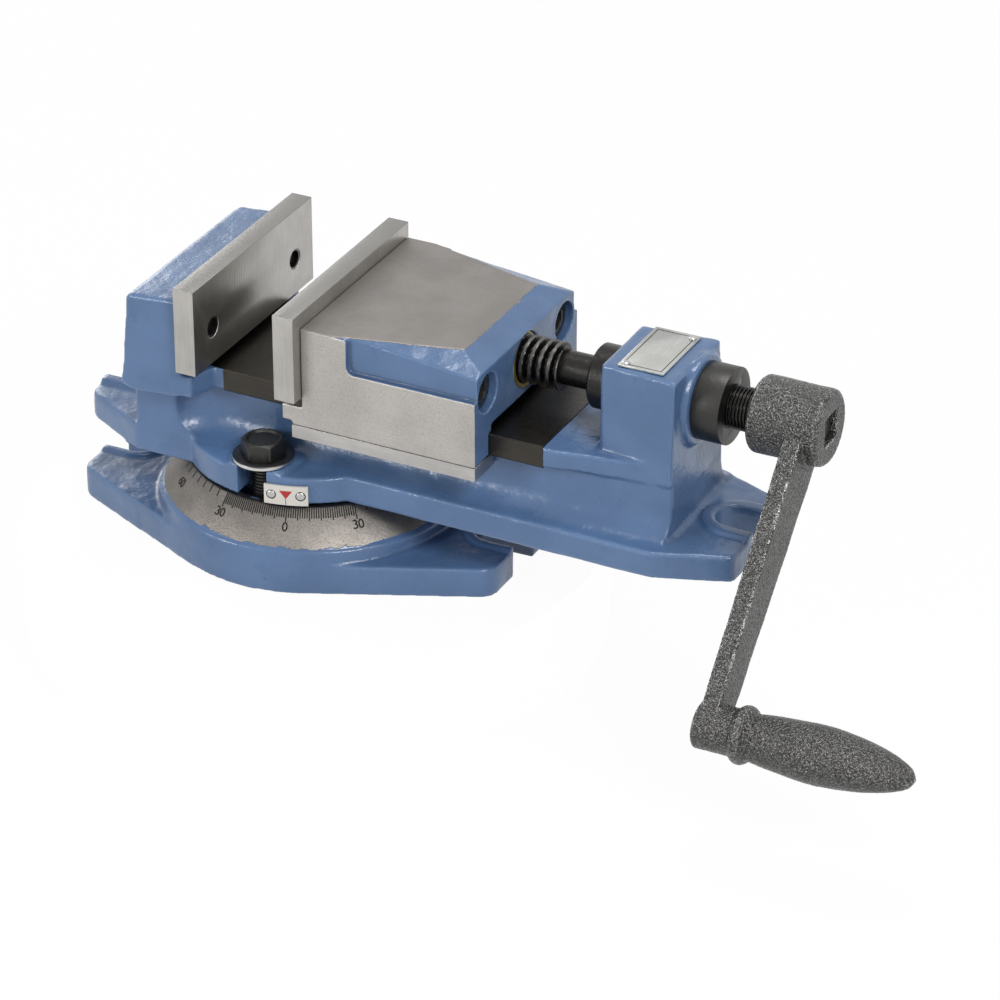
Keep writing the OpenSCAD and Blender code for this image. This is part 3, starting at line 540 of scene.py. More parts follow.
def ground_steel(name, colour, streak, rough=0.34, grain=0.35, shaded_top_height=None):
    """Steel ground or milled in straight strokes: fine streaks, long in one direction. A top face at the
    given height is painted darker, as shade."""
    finish = Finish(name, Metallic=1.0)
    lines = finish.noise(0.0009, 4, 0.7, 0.0, streak)
    cloud = finish.noise(0.012, 3)
    specks = finish.noise(0.0007, 2, 0.6)
    tone = finish.blend(cloud.between(0.3, 0.7), colour, scaled(colour, 0.88))
    tone = finish.blend(specks.between(0.62, 0.8) * grain, tone, scaled(colour, 0.45))
    tone = finish.blend(lines.between(0.35, 0.7) * 0.3, tone, scaled(colour, 0.62))
    if shaded_top_height:
        # Painted shade: the top face at that height is darkened where less light falls on it.
        top = finish.axis("Z").between(shaded_top_height - 0.35 * MM, shaded_top_height - 0.25 * MM)
        tone = finish.blend(top * 0.7, tone, scaled(colour, 0.40))
    return finish.done(tone, rough - 0.08 + 0.2 * lines, lines, STEEL_RELIEF)


def machined_casting():
    """The moving jaw: machined iron on its planes, lighter on the sides and with its top painted darker as
    shade, and blue enamel on its cast shoulders and rear face."""
    finish = Finish("machined_casting")
    wobble = (finish.noise(0.004, 3) - 0.5) * (0.6 * MM)
    height, side, length = finish.axis("Z"), finish.axis("Y").math("ABSOLUTE"), finish.axis("X")
    top = (height + wobble).between(jaw_high[2] - 0.36 * MM, jaw_high[2] - 0.26 * MM)
    flank = (side + wobble).between(jaw_high[1] - 0.36 * MM, jaw_high[1] - 0.26 * MM)
    front = 1 - (length + wobble).between(plate_high[0] + 0.4 * MM, plate_high[0] + 0.6 * MM)
    under = 1 - height.between(way_top + 1.0 * MM, way_top + 1.4 * MM)
    inner = under * (1 - length.between(jaw_high[0] - 2.4 * MM, jaw_high[0] - 2.0 * MM))
    bare = either(either(top, flank), either(front, inner))
    strokes = finish.noise(0.0008, 4, 0.7, 0.0, (0.07, 1, 1))
    specks = finish.noise(0.0008, 3, 0.65)
    cloud = finish.noise(0.02, 3)
    light = finish.blend(cloud.between(0.3, 0.7), (0.47, 0.45, 0.425), (0.41, 0.395, 0.37))
    dark = finish.blend(cloud.between(0.3, 0.7), (0.255, 0.238, 0.224), (0.215, 0.202, 0.19))
    # Painted shade: the machined top takes the darker copy of the iron and the sides the lighter one.
    iron = finish.blend(height.between(jaw_high[2] - 0.5 * MM, jaw_high[2] - 0.3 * MM), light, dark)
    iron = finish.blend(specks.between(0.48, 0.75) * 0.42, iron, (0.15, 0.135, 0.12))
    iron = finish.blend(strokes.between(0.4, 0.7) * 0.07, iron, (0.16, 0.15, 0.14))
    return half_painted(finish, bare, iron, 0.36 + 0.16 * strokes, 0.07 * strokes + 0.10 * specks)


def black_oxide(name="black_oxide", colour=(0.034, 0.033, 0.032), rough=0.34):
    """Blackened steel with rubbed spots."""
    finish = Finish(name, Metallic=0.9)
    cloud = finish.noise(0.006, 4, 0.6)
    rubbed = finish.noise(0.0025, 5, 0.7)
    tone = finish.blend(rubbed.between(0.55, 0.85) * 0.5, colour, (0.10, 0.095, 0.09))
    return finish.done(tone, rough + 0.18 * cloud, rubbed, STEEL_RELIEF)


def screw_oxide():
    """The screw's blackened steel, its thread's crests painted bright as a highlight, with some rubbing wear
    too.
    """
    finish = Finish("screw_oxide", Metallic=0.9)
    across, up = finish.axis("Y"), finish.axis("Z") - axis_z
    reach = (across * across + up * up).math("SQRT")
    cloud = finish.noise(0.006, 4, 0.6)
    rubbed = finish.noise(0.0016, 5, 0.7)
    inside = reach.between(SCREW_R - 0.8 * MM, SCREW_R - 0.1 * MM)
    crest = inside * (1 - reach.between(SCREW_R + 0.05 * MM, SCREW_R + 0.2 * MM))
    tone = finish.blend(rubbed.between(0.5, 0.85) * 0.5, (0.028, 0.027, 0.026), (0.11, 0.105, 0.10))
    # Painted highlight: the crests are lightened where light would catch them, with some rubbing wear there
    # too.
    tone = finish.blend(crest * (0.4 + 0.55 * rubbed), tone, (0.17, 0.163, 0.155))
    return finish.done(tone, 0.24 + 0.16 * cloud, rubbed, STEEL_RELIEF)


def hammered_iron():
    """Rough iron with a hammered silver-grey finish: bright grains in dark gaps, and outer edges painted
    bright in patches as glints, with some wear too.
    """
    finish = Finish("hammered_iron")
    grain = finish.noise(0.0008, 3, 0.62)
    pits = finish.pits(0.0011)
    broad = finish.noise(0.009, 3)
    patches = finish.noise(0.0055, 4, 0.65)
    edge = finish.mark("edge")
    bright = grain.between(0.42, 0.64)
    tone = finish.blend(bright, (0.048, 0.047, 0.045), (0.185, 0.183, 0.18))
    tone = finish.blend(broad.between(0.35, 0.7) * 0.35, tone, (0.065, 0.064, 0.063))
    # Painted highlight: convex edges lightened in patches as glints, partly wear of the finish.
    edge_wear_and_glints = edge.between(0.12, 0.6) * grain.between(0.40, 0.56) * (0.15 + 0.85 * patches.between(0.38, 0.62))
    tone = finish.blend(edge_wear_and_glints * 0.75, tone, (0.55, 0.55, 0.54))
    finish.set("Metallic", 0.8 + 0.15 * bright)
    return finish.done(tone, 0.34 - 0.10 * bright, 0.6 * grain + 0.4 * pits, 1.3 * MM)


def plain(name, colour, rough, metallic=0.0, spots=0.3, gloss=0.5):
    """A nearly even finish with faint clouds in its tone and roughness."""
    finish = Finish(name, Metallic=metallic, Specular_IOR_Level=gloss)
    cloud = finish.noise(0.004, 4, 0.6)
    tone = finish.blend(cloud * spots, colour, scaled(colour, 0.7))
    return finish.done(tone, rough - 0.06 + 0.14 * cloud, cloud, 0.08 * MM)


def washer_zinc():
    """Bright zinc whose upper face is painted dark, a painted reflection of dark surroundings."""
    finish = Finish("washer_zinc", Metallic=1.0)
    cloud = finish.noise(0.003, 4, 0.6)
    upper = finish.axis("Z").between(washer_high[2] - 0.5 * MM, washer_high[2] - 0.2 * MM)
    tone = finish.blend(cloud * 0.4, (0.60, 0.60, 0.59), (0.40, 0.40, 0.39))
    # Painted reflection: the upper face is darkened for the dark surroundings it mirrors.
    tone = finish.blend(upper * 0.9, tone, (0.045, 0.046, 0.048))
    return finish.done(tone, 0.26 + 0.2 * cloud, cloud, 0.1 * MM)


def turned_steel(name, colour, rough=0.36):
    """Cloudy, grained steel turned about the swivel axis, painted up to a wavy line over its foot."""
    finish = Finish(name, Anisotropic=0.5)
    height = finish.axis("Z")
    sway, jag = finish.noise(0.0042, 3) - 0.5, finish.noise(0.001, 2) - 0.5
    wobble = sway * (4.4 * MM) + jag * (0.7 * MM)
    bare = (height + wobble).between(CONE_FOOT_Z + 0.45 * MM, CONE_FOOT_Z + 0.6 * MM)
    cloud = finish.noise(0.016, 3, 0.55)
    specks = finish.noise(0.0006, 3, 0.7)
    tone = finish.blend(cloud.between(0.3, 0.7), colour, scaled(colour, 0.74))
    tone = finish.blend(specks.between(0.45, 0.72) * 0.75, tone, scaled(colour, 0.38))
    return half_painted(finish, bare, tone, rough + 0.16 * cloud, 0.13 * specks)


def shown_white(name, share):
    """Plain white that the camera and reflections see at full level by share, and the rest as it is lit."""
    finish = Finish(name, Base_Color=(0.92, 0.92, 0.92), Roughness=0.9, Specular_IOR_Level=0.0)
    glow = finish.node("ShaderNodeEmission", inputs={"Color": (1, 1, 1), "Strength": 1.0})
    lit = Value(finish, finish.shader.outputs["BSDF"])
    mixed = finish.node("ShaderNodeMixShader", inputs={0: seen_directly(finish) * share, 1: lit, 2: glow})
    finish.plug(finish.tree.nodes["Material Output"].inputs["Surface"], mixed)
    return finish.material


def seen_directly(nodes):
    """1 for rays from the camera, in reflections and through glass, and 0 for light that falls on things."""
    kinds = ("Camera", "Glossy", "Transmission")
    camera, mirrored, through = [nodes.node("ShaderNodeLightPath", out=f"Is {kind} Ray") for kind in kinds]
    return either(either(camera, mirrored), through)


ENAMEL = blue_enamel()
JAW_IRON = machined_casting()
PLATE_STEEL = ground_steel("ground_steel", (0.47, 0.455, 0.43), (1, 1, 0.06), shaded_top_height=plate_high[2])
KEEPER_STEEL = ground_steel("ground_keeper_steel", (0.48, 0.47, 0.455), (0.08, 1, 1))
WAY_IRON = ground_steel("oiled_way_iron", (0.062, 0.057, 0.050), (0.06, 1, 1), 0.3, 0.5)
CONE_STEEL = turned_steel("turned_cone_steel", (0.225, 0.208, 0.19))
OXIDE = black_oxide()
BOLT_OXIDE = black_oxide("bolt_oxide", (0.050, 0.050, 0.048), 0.32)
RING_OXIDE = black_oxide("ring_oxide", (0.048, 0.047, 0.045), 0.3)
SCREW_OXIDE = screw_oxide()
CAP_OXIDE = black_oxide("cap_screw_oxide", (0.085, 0.082, 0.08), 0.2)
# Painted shade: dark steel for the tapped threads, standing in for the shade inside the holes.
SHADED_TAPPED_STEEL = plain("tapped_steel_painted_shade", (0.15, 0.145, 0.14), 0.3, 1.0)
HAMMERED = hammered_iron()
ZINC = washer_zinc()
PIN_STEEL = plain("pin_steel", (0.14, 0.135, 0.13), 0.35, 1.0)
BRONZE = plain("bronze", (0.30, 0.245, 0.075), 0.4, 0.8)
PRINT_WHITE = plain("printed_white", (0.66, 0.63, 0.58), 0.4)
PRINT_RED = plain("printed_red", (0.42, 0.035, 0.035), 0.45, gloss=0.3)
PRINT_BLACK = plain("printed_black", (0.012, 0.012, 0.012), 0.6, gloss=0.15)
NAME_SILVER = ground_steel("name_plate_silver", (0.56, 0.565, 0.54), (1, 0.06, 1), 0.3, 0.15)
RIVET_STEEL = plain("rivet_steel", (0.50, 0.50, 0.49), 0.24, 1.0)


def finished(piece, body, material, slot, *nodes):
    """Gives a piece its material and its body, and hides the CAD nodes it stands for; slot is not used."""
    piece.data.materials.clear()
    piece.data.materials.append(material)
    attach(piece, body)
    if nodes:
        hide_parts(*nodes)


def dressed(node, material):
    """Gives a CAD node that keeps its shape its material."""
    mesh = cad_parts[node].data
    mesh.materials.clear()
    mesh.materials.append(material)


# Swivel base

CONE_FOOT_R = 63.7 * MM
CONE_SLOPE = 0.75
CONE_TOP_Z = base_high[2]


def cone_radius(z):
    """The graduated cone's radius at a height."""
    return CONE_FOOT_R - CONE_SLOPE * (z - CONE_FOOT_Z)


def on_cone(angle, slant, lift):
    """Points on the graduated cone, or over it by lift: angle in degrees from the front towards +X, slant up
    from the foot."""
    steep = math.hypot(1, CONE_SLOPE)
    z = CONE_FOOT_Z + slant / steep
    radius = cone_radius(z) + lift
    turn = np.radians(angle)
    return np.stack([radius * np.sin(turn), -radius * np.cos(turn), z + lift * CONE_SLOPE], -1)


def make_base():
    """The base casting, and the machined skin of its graduated cone, a little proud of it."""
    base = casting("base_casting", "swivel_base", 0.8 * MM, 4, 0.10 * MM, seed=3)
    finished(base, "base", ENAMEL, "blue_paint", "swivel_base")
    lift = 0.16 * MM
    brow = CONE_TOP_Z - 0.4 * MM
    top = CONE_TOP_Z - 0.02 * MM
    inner = cone_radius(CONE_TOP_Z) - 3.2 * MM
    section = [
        (CONE_FOOT_Z - 0.5 * MM, CONE_FOOT_R - 1.2 * MM), (CONE_FOOT_Z - 0.1 * MM, CONE_FOOT_R + lift),
        (brow, cone_radius(brow) + lift), (top, cone_radius(CONE_TOP_Z) - 0.3 * MM), (top, inner),
        (CONE_TOP_Z - 1.2 * MM, inner)]
    cone = hoop("graduated_cone", section, along="z", sides=240)
    finished(shade(cone, 30), "base", CONE_STEEL, "steel")


SCALE_ZERO = 16.4
SCALE_END = 90
SCALE_LIFT = 0.19 * MM
FINE_END = 30
TICK_R = 57 * MM
TICK_HALF = 0.235 * MM
TICK_TOP = 17.9 * MM
NUMBER_STEP = 30
NUMBER_R = 57.5 * MM


def tick_foot(degree):
    """Where a degree's line starts on the cone's slant: lowest at 0 and 30, next at fives, then the rest."""
    foot = 11.6 if abs(degree) in (0, NUMBER_STEP) else 12.4 if degree % 5 == 0 else 13.3
    return (foot + 2.2 * (abs(degree) > FINE_END)) * MM


def make_ticks():
    """The degree lines, as thin dark strips on the cone: every degree up to 30, and every fifth beyond."""
    half = math.degrees(TICK_HALF / TICK_R)
    strips = []
    for degree in range(-SCALE_END, SCALE_END + 1):
        if abs(degree) > FINE_END and degree % 5:
            continue
        foot = tick_foot(degree)
        spots = ((-half, foot), (half, foot), (half, TICK_TOP), (-half, TICK_TOP))
        strips.append([on_cone(SCALE_ZERO + (degree + side), slant, SCALE_LIFT) for side, slant in spots])
    faces = np.arange(len(strips) * 4).reshape(-1, 4)
    ticks = facing_out(mesh_object("scale_ticks", np.array(strips), faces))
    finished(ticks, "base", PRINT_BLACK, "steel")


def make_numbers():
    """The numbers, as dark strips that follow their strokes on the cone."""
    shapes = []
    for value in range(-SCALE_END, SCALE_END + 1, NUMBER_STEP):
        shapes += number_strips(str(abs(value)), SCALE_ZERO + value)
    faces, points, start = [], [], 0
    for shape in shapes:
        faces += (start + grid_faces(2, len(shape) // 2)).tolist()
        points.append(shape)
        start += len(shape)
    numbers = facing_out(mesh_object("scale_numbers", np.concatenate(points), faces))
    finished(numbers, "base", PRINT_BLACK, "steel")


def arc(x, y, wide, high, start, end, steps):
    """Points along an ellipse round a middle, between two angles in degrees."""
    turn = np.radians(np.linspace(start, end, steps))
    return np.stack([x + wide * np.cos(turn), y + high * np.sin(turn)], 1)


def digit_strokes(digit):
    """The centre lines of a 0, 3, 6 or 9 in a box 0.6 wide and 1 high. The 9 is the 6 turned half round."""
    if digit == "0":
        return [arc(0.3, 0.5, 0.26, 0.5, 0, 360, 33)]
    if digit == "3":
        return [arc(0.28, 0.76, 0.24, 0.24, 150, -90, 15), arc(0.28, 0.26, 0.28, 0.26, 90, -150, 17)]
    ring = arc(0.3, 0.28, 0.27, 0.28, 0, 360, 33)
    stem = arc(0.55, 0.30, 0.52, 0.70, 175, 75, 13)
    middle = np.array([0.3, 0.5])
    flip = -1 if digit == "9" else 1
    return [middle + flip * (stroke - middle) for stroke in (ring, stem)]


def number_strips(number, angle):
    """A number's strokes as strips of points on the cone: the left edge, then the right edge."""
    height = 3.4 * MM
    pen = 0.29 * MM
    foot = 7.8 * MM
    pitch = 0.76 * height
    start = -0.5 * (pitch * (len(number) - 1) + 0.6 * height)
    strips = []
    for place, digit in enumerate(number):
        for stroke in digit_strokes(digit):
            line = np.array([start + place * pitch, foot]) + stroke * height
            along = np.gradient(line, axis=0)
            along /= np.linalg.norm(along, axis=1)[:, None]
            side = np.stack([-along[:, 1], along[:, 0]], 1) * pen
            edges = np.concatenate([line + side, line - side])
            turn = angle + np.degrees(edges[:, 0] / NUMBER_R)
            strips.append(on_cone(turn, edges[:, 1], SCALE_LIFT))
    return strips


# Vise body


def body_share(points):
    """0 on the way's machined faces, which have a skin of their own, and 1 on the rest of the body."""
    x, y, z = points.T
    along = (x > way_top_start_x + 1 * MM) & (x < way_end_x - 1 * MM)
    near = 0.4 * MM
    top = along & (np.abs(z - way_top) < near) & (np.abs(y) < way_half + 0.5 * MM)
    level = (z > way_top - way_edge + 0.5 * MM) & (z < way_top + near)
    side = (np.abs(np.abs(y) - way_half) < near) & level & along
    return 1.0 - (top | side & (x > way_side_start_x + 1 * MM))


def make_body():
    """The body casting and the machined faces of its way."""
    piece = casting("body_casting", "vise_body", 0.85 * MM, 4, 0.10 * MM, body_share, seed=11,
                    sink=0.12 * MM)
    finished(piece, "body", ENAMEL, "blue_paint", "vise_body")
    make_way()


def make_way():
    """The machined faces of the way: an open box skin a little proud of the casting, with broken edges. Its
    section runs from one under edge over the top to the other, and its sides start later than its top."""
    lift = 0.15 * MM
    cut = 0.5 * MM
    half = way_half + lift
    top = way_top + lift * 0.2
    bottom = way_top - way_edge
    right = [(half - 3 * MM, bottom - lift), (half - cut, bottom - lift), (half, bottom + cut),
             (half, top - cut), (half - cut, top), (half - 3 * cut, top)]
    y, z = np.array(right + [(-across, up) for across, up in reversed(right)]).T
    start = np.where((z >= top) & (np.abs(y) < half - 2 * cut), way_top_start_x, way_side_start_x)
    end = np.full(len(y), way_end_x)
    x = np.stack([start, start, end, end])
    turned_in = 1.5 * MM
    inset = np.array([turned_in, 0, 0, turned_in])[:, None]
    across = y - np.sign(y) * inset * (np.abs(y) > half - 2 * cut)
    up = np.clip(z - inset * (z > top - 2 * cut), bottom - lift, None)
    piece = mesh_object("way_faces", np.stack([x, across, up], -1), grid_faces(4, len(y)))
    facing_out(piece, ((way_top_start_x + way_end_x) / 2, 0, (top + bottom) / 2), (1, 1, 1))
    finished(shade(piece, 30), "body", WAY_IRON, "machined_iron")


# Jaws


def cast_share(points):
    """How much each point of the moving jaw belongs to its painted cast skin, clear of its screws' rims."""
    x, y, z = points.T
    block = 19 * MM
    behind = np.clip((x - plate_high[0] - block) / (2 * MM), 0, 1)
    above = np.clip((z - shoulder_z + 0.6 * MM) / (1 * MM), 0, 1)
    below_top = np.clip((jaw_high[2] - 0.12 * MM - z) / (0.1 * MM), 0, 1)
    inside = np.clip((jaw_high[1] - 0.12 * MM - np.abs(y)) / (0.1 * MM), 0, 1)
    rear = np.clip((x - jaw_high[0] + 1.5 * MM) / (1 * MM), 0, 1)
    cap_z, cap_r = (cap_low[2] + cap_high[2]) / 2, (cap_high[2] - cap_low[2]) / 2
    from_cap = np.hypot(np.abs(y) - cap_high[1] + cap_r, z - cap_z)
    clear = np.clip((from_cap - cap_r - 1.6 * MM) / (1 * MM), 0.15, 1)
    return np.maximum(behind * above * below_top * inside, rear * below_top * inside) * clear


def scoop(side):
    """The pocket behind the moving jaw's square part: a prism across the jaw whose profile has a small
    quarter circle at its lower corner."""
    past = 2 * MM
    front, rear = plate_high[0] + 20.9 * MM, jaw_high[0] + past
    top = jaw_high[2] + past
    depth = 2.4 * MM
    radius = 3.5 * MM
    turn = np.radians(np.linspace(180, 270, 9))
    x = np.r_[front + radius + radius * np.cos(turn), rear, rear, front]
    z = np.r_[shoulder_z + radius + radius * np.sin(turn), shoulder_z, top, top]
    y = side * np.array([jaw_high[1] - depth, jaw_high[1] + past])[:, None]
    return tube("scoop", np.stack(np.broadcast_arrays(x, y, z), -1))


def make_tapped_holes():
    """The threads in the fixed plate's open screw holes: rings whose bore is a row of grooves, in dark steel
    that is painted shade for the inside of the holes.
    """
    low, high = corners("fixed_jaw_screws")
    grooves = 5
    x = np.linspace(high[0], fixed_high[0] - 0.25 * MM, 2 * grooves + 1)
    bore = TAPPED_R - np.where(np.arange(len(x)) % 2, 0.75, 0.15) * MM
    wall = TAPPED_R + 0.1 * MM
    section = [*zip(x, bore), (x[-1], wall), (x[0], wall)]
    cap_r = (high[2] - low[2]) / 2
    for side, name in ((-1, "front_tapping"), (1, "rear_tapping")):
        middle = (0, side * (high[1] - cap_r), (low[2] + high[2]) / 2)
        finished(shade(hoop(name, section, middle, sides=48), 30), "body", SHADED_TAPPED_STEEL, "ground_steel")


def make_jaws():
    """The jaw plates, the moving jaw with its keepers and nut, and the screws that hold them."""
    for name, node, body in (("fixed_plate", "fixed_jaw_plate", "body"),
                             ("moving_plate", "moving_jaw_plate", "moving_jaw")):
        finished(bevelled(name, node, 0.45 * MM, 3), body, PLATE_STEEL, "ground_steel", node)
    make_tapped_holes()
    jaw = casting("moving_jaw_casting", "moving_jaw", 0.58 * MM, 5, 0.10 * MM, cast_share, seed=23,
                  cutters=[scoop(-1), scoop(1)])
    finished(jaw, "moving_jaw", JAW_IRON, "machined_iron", "moving_jaw")
    for side in ("front", "rear"):
        node = f"{side}_keeper_plate"
        keeper = bevelled(f"{side}_keeper", node, 0.3 * MM)
        finished(keeper, "moving_jaw", KEEPER_STEEL, "ground_steel", node)
    for node, body in (("fixed_jaw_screws", "body"), ("moving_jaw_screws", "moving_jaw"),
                       ("keeper_screws", "moving_jaw")):
        finished(bevelled(node + "_dressed", node, 0.4 * MM), body, CAP_OXIDE, "black_oxide", node)
    finished(bevelled("lead_nut_dressed", "lead_nut", 0.4 * MM), "moving_jaw", BRONZE, "bronze", "lead_nut")


def make_nut_mouth():
    """The nut's bronze edge at the screw's hole: a ring off centre that leans, so that the jaw hides most
    of it."""
    inner, edge = jaw_high[0] - 1 * MM, jaw_high[0] + 0.06 * MM
    section = [(inner, 9.7 * MM), (edge, 9.9 * MM), (edge, 11.5 * MM), (inner, 11.7 * MM)]
    mouth = hoop("nut_mouth", section, (0, -0.35 * MM, axis_z - 0.75 * MM))
    points = at_points(mouth.data, "co")
    lean = 0.08
    sink = 0.45 * MM
    points[:, 0] -= lean * (0.5 * points[:, 1] + 0.86 * (points[:, 2] - axis_z)) + sink
    set_points(mouth.data, points)
    finished(shade(mouth, 30), "moving_jaw", BRONZE, "bronze")


# Screw, lock ring, crank and bolts


def make_screw():
    """The screw in stretches: left-hand trapezoidal thread, neck, collar, journal, fine thread and square.
    With it go the lock ring, its pin and the crank."""
    thread_end = 117.2 * MM
    collar_start, collar_end = 131.95 * MM, 141.95 * MM
    stub_start, stub_end = ring_low[0] + 1 * MM, crank_low[0]
    root_r, neck_r, collar_r, journal_r = 7.3 * MM, 7.2 * MM, 13.5 * MM, 9 * MM
    overlap = 0.2 * MM
    middle = (0, 0, axis_z)
    neck = [(thread_end - overlap, neck_r), (collar_start + overlap, neck_r)]
    journal = [(collar_end - overlap, journal_r), (ring_low[0] + 2 * MM, journal_r)]
    pieces = [
        thread("main_thread", screw_low[0], thread_end, SCREW_R, root_r, 4 * MM, -1, middle),
        turned("neck", neck, middle),
        turned("collar", chamfered_profile(collar_start, collar_end, collar_r, 0.8 * MM), middle),
        turned("journal", journal, middle),
        thread("stub_thread", stub_start, stub_end, journal_r, 8.1 * MM, 1.5 * MM, 1, middle, steps=10)]
    half = 5.95 * MM
    reach = screw_high[0] - 1.6 * MM
    cut = 0.6 * MM
    x = np.array([stub_end - 0.5 * MM, reach - cut, reach])[:, None]
    size = np.array([half, half, half - cut])[:, None]
    y = np.array([1, 1, -1, -1]) * size
    z = np.array([-1, 1, 1, -1]) * size + axis_z
    pieces.append(tube("square_end", np.stack(np.broadcast_arrays(x, y, z), -1)))
    screw = shade(joined("lead_screw_dressed", pieces), 35)
    finished(screw, "screw", SCREW_OXIDE, "black_oxide", "lead_screw")
    ring = bevelled("lock_ring_dressed", "lock_ring", 0.9 * MM, 3)
    finished(ring, "screw", RING_OXIDE, "black_oxide", "lock_ring")
    dressed("lock_ring_pin", PIN_STEEL)
    crank = casting("crank_casting", "crank", 0.45 * MM, 6, 0.08 * MM, seed=31, grain=(1.5 * MM, 0.03 * MM))
    finished(crank, "screw", HAMMERED, "grey_iron", "crank")


def make_clamps():
    """Hexagon bolts with threaded shanks, their washers, the nuts below and the pivot."""
    apothem = 8.25 * MM
    head_turn = 17
    taller = 0.7 * MM
    for side in ("front", "rear"):
        node = f"{side}_clamp_bolt"
        low, high = corners(node)
        x, y = (low + high)[:2] / 2
        foot = washer_high[2]
        head = hexagon_head("bolt_head", x, y, foot, high[2] + taller, apothem, head_turn)
        shank = thread("bolt_shank", low[2], foot + 1 * MM, 5 * MM, 4.2 * MM, 1.5 * MM, -1, (x, y, 0), "z",
                       sides=48)
        bolt = shade(joined(f"{side}_bolt", [head, shank]), 30)
        finished(bolt, f"{side}_bolt", BOLT_OXIDE, "black_oxide", node)
    finished(bevelled("washers", "clamp_washers", 0.5 * MM, 3), "body", ZINC, "zinc", "clamp_washers")
    dressed("tee_nuts", OXIDE)
    dressed("pivot_pin", PIN_STEEL)


# Sheet plates


def dome(name, places, radius, height, sides=24, rings=6):
    """Round rivet heads: a quarter ellipse carried round each rivet's own axis."""
    polar = np.linspace(0, math.pi / 2, rings)[:, None]
    angle = np.linspace(0, TURN, sides, endpoint=False)[None, :]
    parts = []
    for middle, axis in places:
        turn = Vector((0, 0, 1)).rotation_difference(Vector(axis)).to_matrix()
        local = np.stack(np.broadcast_arrays(
            radius * np.cos(polar) * np.cos(angle), radius * np.cos(polar) * np.sin(angle),
            height * np.sin(polar)), -1)
        points = local.reshape(-1, 3) @ np.array(turn).T + np.array(middle)
        faces = grid_faces(rings, sides, wrap_columns=True).tolist() + [list(range(sides))]
        parts.append(outward(mesh_object(name, points, faces)))
    return shade(joined(name, parts))


def bent_sheet(name, radius, thick, start, end, bottom, top, steps=24):
    """A sheet bent round the swivel axis, from a start to an end in degrees, with a thickness."""
    angle = np.radians(np.linspace(start, end, steps))[:, None]
    reach = np.array([radius, radius + thick, radius + thick, radius])
    z = np.array([bottom, bottom, top, top])
    points = np.stack(np.broadcast_arrays(reach * np.sin(angle), -reach * np.cos(angle), z), -1)
    return tube(name, points)


POINTER_MIDDLE = 16.3
POINTER_SPAN = 19.4
TRIANGLE_HALF = 2.9
LINE_HALF = 0.12
PRINT_LIFT = 0.03 * MM
LUG_R = 54.05 * MM
SHEET = 0.9 * MM


def make_pointer():
    """The curved pointer plate: a red triangle that points down to a dark line, between two rivets."""
    face_r = LUG_R + SHEET
    low, high = POINTER_MIDDLE - POINTER_SPAN / 2, POINTER_MIDDLE + POINTER_SPAN / 2
    bottom, top = pointer_low[2], pointer_high[2]
    plate = bent_sheet("pointer_sheet", LUG_R, SHEET, low, high, bottom, top)
    finished(shade(plate, 30), "body", PRINT_WHITE, "white_plate", "pointer_plate")
    print_r = face_r + PRINT_LIFT
    rows = np.linspace(0, 1, 8)[:, None]
    columns = np.linspace(-1, 1, 7)[None, :]
    middle_z = (bottom + top) / 2
    tip_z, flat_z = middle_z - 1.6 * MM, middle_z + 2.2 * MM
    angle = np.radians(POINTER_MIDDLE + TRIANGLE_HALF * rows * columns)
    z = tip_z + (flat_z - tip_z) * rows
    points = np.stack(np.broadcast_arrays(print_r * np.sin(angle), -print_r * np.cos(angle), z), -1)
    mark = facing_out(mesh_object("pointer_triangle", points, grid_faces(*angle.shape)))
    finished(mark, "body", PRINT_RED, "white_plate")
    low, high = POINTER_MIDDLE - LINE_HALF, POINTER_MIDDLE + LINE_HALF
    line = bent_sheet("pointer_line", face_r, PRINT_LIFT, low, high, bottom + 0.1 * MM, tip_z, 3)
    finished(line, "body", PRINT_BLACK, "white_plate")
    places = []
    for side in (-1, 1):
        turn = math.radians(POINTER_MIDDLE + side * POINTER_SPAN / 3)
        axis = np.array([math.sin(turn), -math.cos(turn), 0])
        places.append((axis * face_r + np.array([0, 0, middle_z]), axis))
    # Painted shadow: a flat dark ring round each rivet head, standing in for its contact shadow.
    rings = dome("pointer_rivet_shadow_rings", places, 2.15 * MM, 0.05 * MM)
    finished(rings, "body", PRINT_BLACK, "white_plate")
    rivets = dome("pointer_rivet_heads", places, 1.85 * MM, 0.5 * MM)
    finished(rivets, "body", RIVET_STEEL, "steel", "pointer_rivets")


def make_name_plate():
    """The bare silver plate with its dark border line and two rivets at opposite corners."""
    sheet = bevelled("name_sheet", "name_plate", 0.2 * MM)
    finished(sheet, "body", NAME_SILVER, "silver_plate", "name_plate")
    middle = (name_low + name_high) / 2
    top = name_high[2]
    half = (name_high - name_low)[:2] / 2 - 1.6 * MM
    wide = 0.35 * MM
    loop = np.array([(-1, -1), (1, -1), (1, 1), (-1, 1)])
    rings = [loop * (half - s) + middle[:2] for s in (0, wide)]
    points = np.concatenate([np.c_[ring, np.full(4, top + PRINT_LIFT)] for ring in rings])
    faces = [[k, (k + 1) % 4, 4 + (k + 1) % 4, 4 + k] for k in range(4)]
    border = mesh_object("name_border", points, faces)
    finished(border, "body", PRINT_BLACK, "silver_plate")
    low, high = corners("name_plate_rivets")
    inset = 1.7 * MM
    places = [((*spot, top), (0, 0, 1)) for spot in (low[:2] + inset, high[:2] - inset)]
    rivets = dome("name_rivet_heads", places, 1.7 * MM, 0.7 * MM)
    finished(rivets, "body", RIVET_STEEL, "steel", "name_plate_rivets")


# Stage, lights and camera


PLINTH_R = 0.125
PLINTH_H = 0.045
FLOOR_HALF = 6.0


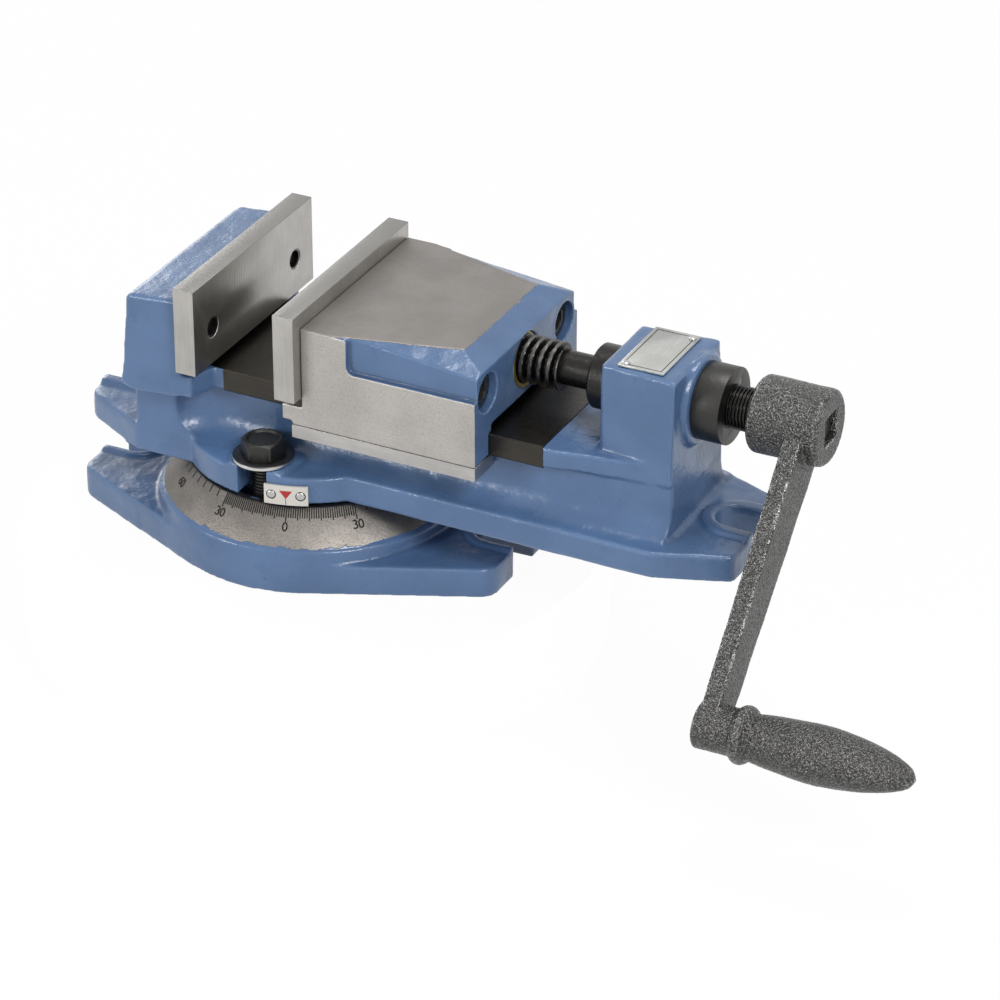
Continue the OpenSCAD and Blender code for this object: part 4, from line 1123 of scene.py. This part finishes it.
def make_stage():
    """A low round plinth under the base, inside the circle that the crank sweeps, on a wide floor. Its wall
    is shown a little whiter than the flat faces."""
    flat_white, wall_white = shown_white("stage_floor", 0.965), shown_white("stage_edge", 0.985)
    spots = [(x * FLOOR_HALF, y * FLOOR_HALF, -PLINTH_H) for x, y in ((-1, -1), (1, -1), (1, 1), (-1, 1))]
    floor = mesh_object("floor", spots, [[0, 1, 2, 3]])
    floor.data.materials.append(flat_white)
    plinth = turned("plinth", [(-PLINTH_H, PLINTH_R), (0, PLINTH_R)], along="z", sides=128)
    plinth.data.materials.append(flat_white)
    plinth.data.materials.append(wall_white)
    for face in plinth.data.polygons:
        face.material_index = int(abs(face.normal.z) < 0.5)


ROOM_LEVEL = 0.22
LAMP_TARGET = Vector((0.06, 0, 0.06))


def area_light(name, spot, side, watts):
    """A square lamp that faces the vise."""
    light = bpy.data.lights.new(name, "AREA")
    light.shape = "RECTANGLE"
    light.size = side
    light.size_y = side
    light.energy = watts
    lamp = added(name, light)
    lamp.location = spot
    lamp.rotation_euler = (LAMP_TARGET - Vector(spot)).to_track_quat("-Z", "Y").to_euler()


def make_lights():
    """A pale room, a softbox high on the right, one to the left of the front, one overhead, and a weak one
    behind. The room lights the vise at ROOM_LEVEL, and is white to the camera and in reflections."""
    area_light("right_box", (0.93, -0.70, 1.02), side=0.45, watts=10.5)
    area_light("left_box", (-0.82, -1.12, 0.52), side=0.45, watts=7.6)
    area_light("above", (0.10, 0.25, 1.45), side=0.5, watts=8)
    area_light("back_box", (-1.05, 0.85, 0.45), side=0.6, watts=4)
    world = bpy.data.worlds.new("pale room")
    bpy.context.scene.world = world
    world.use_nodes = True
    room = Nodes(world.node_tree)
    background = world.node_tree.nodes["Background"]
    background.inputs["Color"].default_value = (1, 1, 1, 1)
    room.plug(background.inputs["Strength"], seen_directly(room) * (1 - ROOM_LEVEL) + ROOM_LEVEL)


def make_camera():
    """The photograph's camera, solved from the vise's parallel edges and known pieces."""
    azimuth, elevation, roll = math.radians(26.837), math.radians(29.602), math.radians(-0.065)
    eye = Vector((841.8, -1491.9, 979.4)) * MM
    focal_pixels, photo_pixels = 4660.5, 1000
    level = math.cos(elevation)
    back = Vector((math.sin(azimuth) * level, -math.cos(azimuth) * level, math.sin(elevation)))
    right = Vector((math.cos(azimuth), math.sin(azimuth), 0))
    up = back.cross(right)
    turn = Matrix((right, up, back)).transposed() @ Matrix.Rotation(roll, 3, "Z")
    camera = bpy.data.cameras.new("photo camera")
    camera.sensor_width = 36
    camera.lens = focal_pixels / photo_pixels * camera.sensor_width
    camera.clip_end = 50
    view = added("photo camera", camera)
    view.matrix_world = Matrix.Translation(eye) @ turn.to_4x4()
    bpy.context.scene.camera = view


make_base()
make_ticks()
make_numbers()
make_body()
make_jaws()
make_nut_mouth()
make_screw()
make_clamps()
make_pointer()
make_name_plate()
make_stage()
make_lights()
make_camera()

bpy.context.scene.view_settings.view_transform = "Standard"
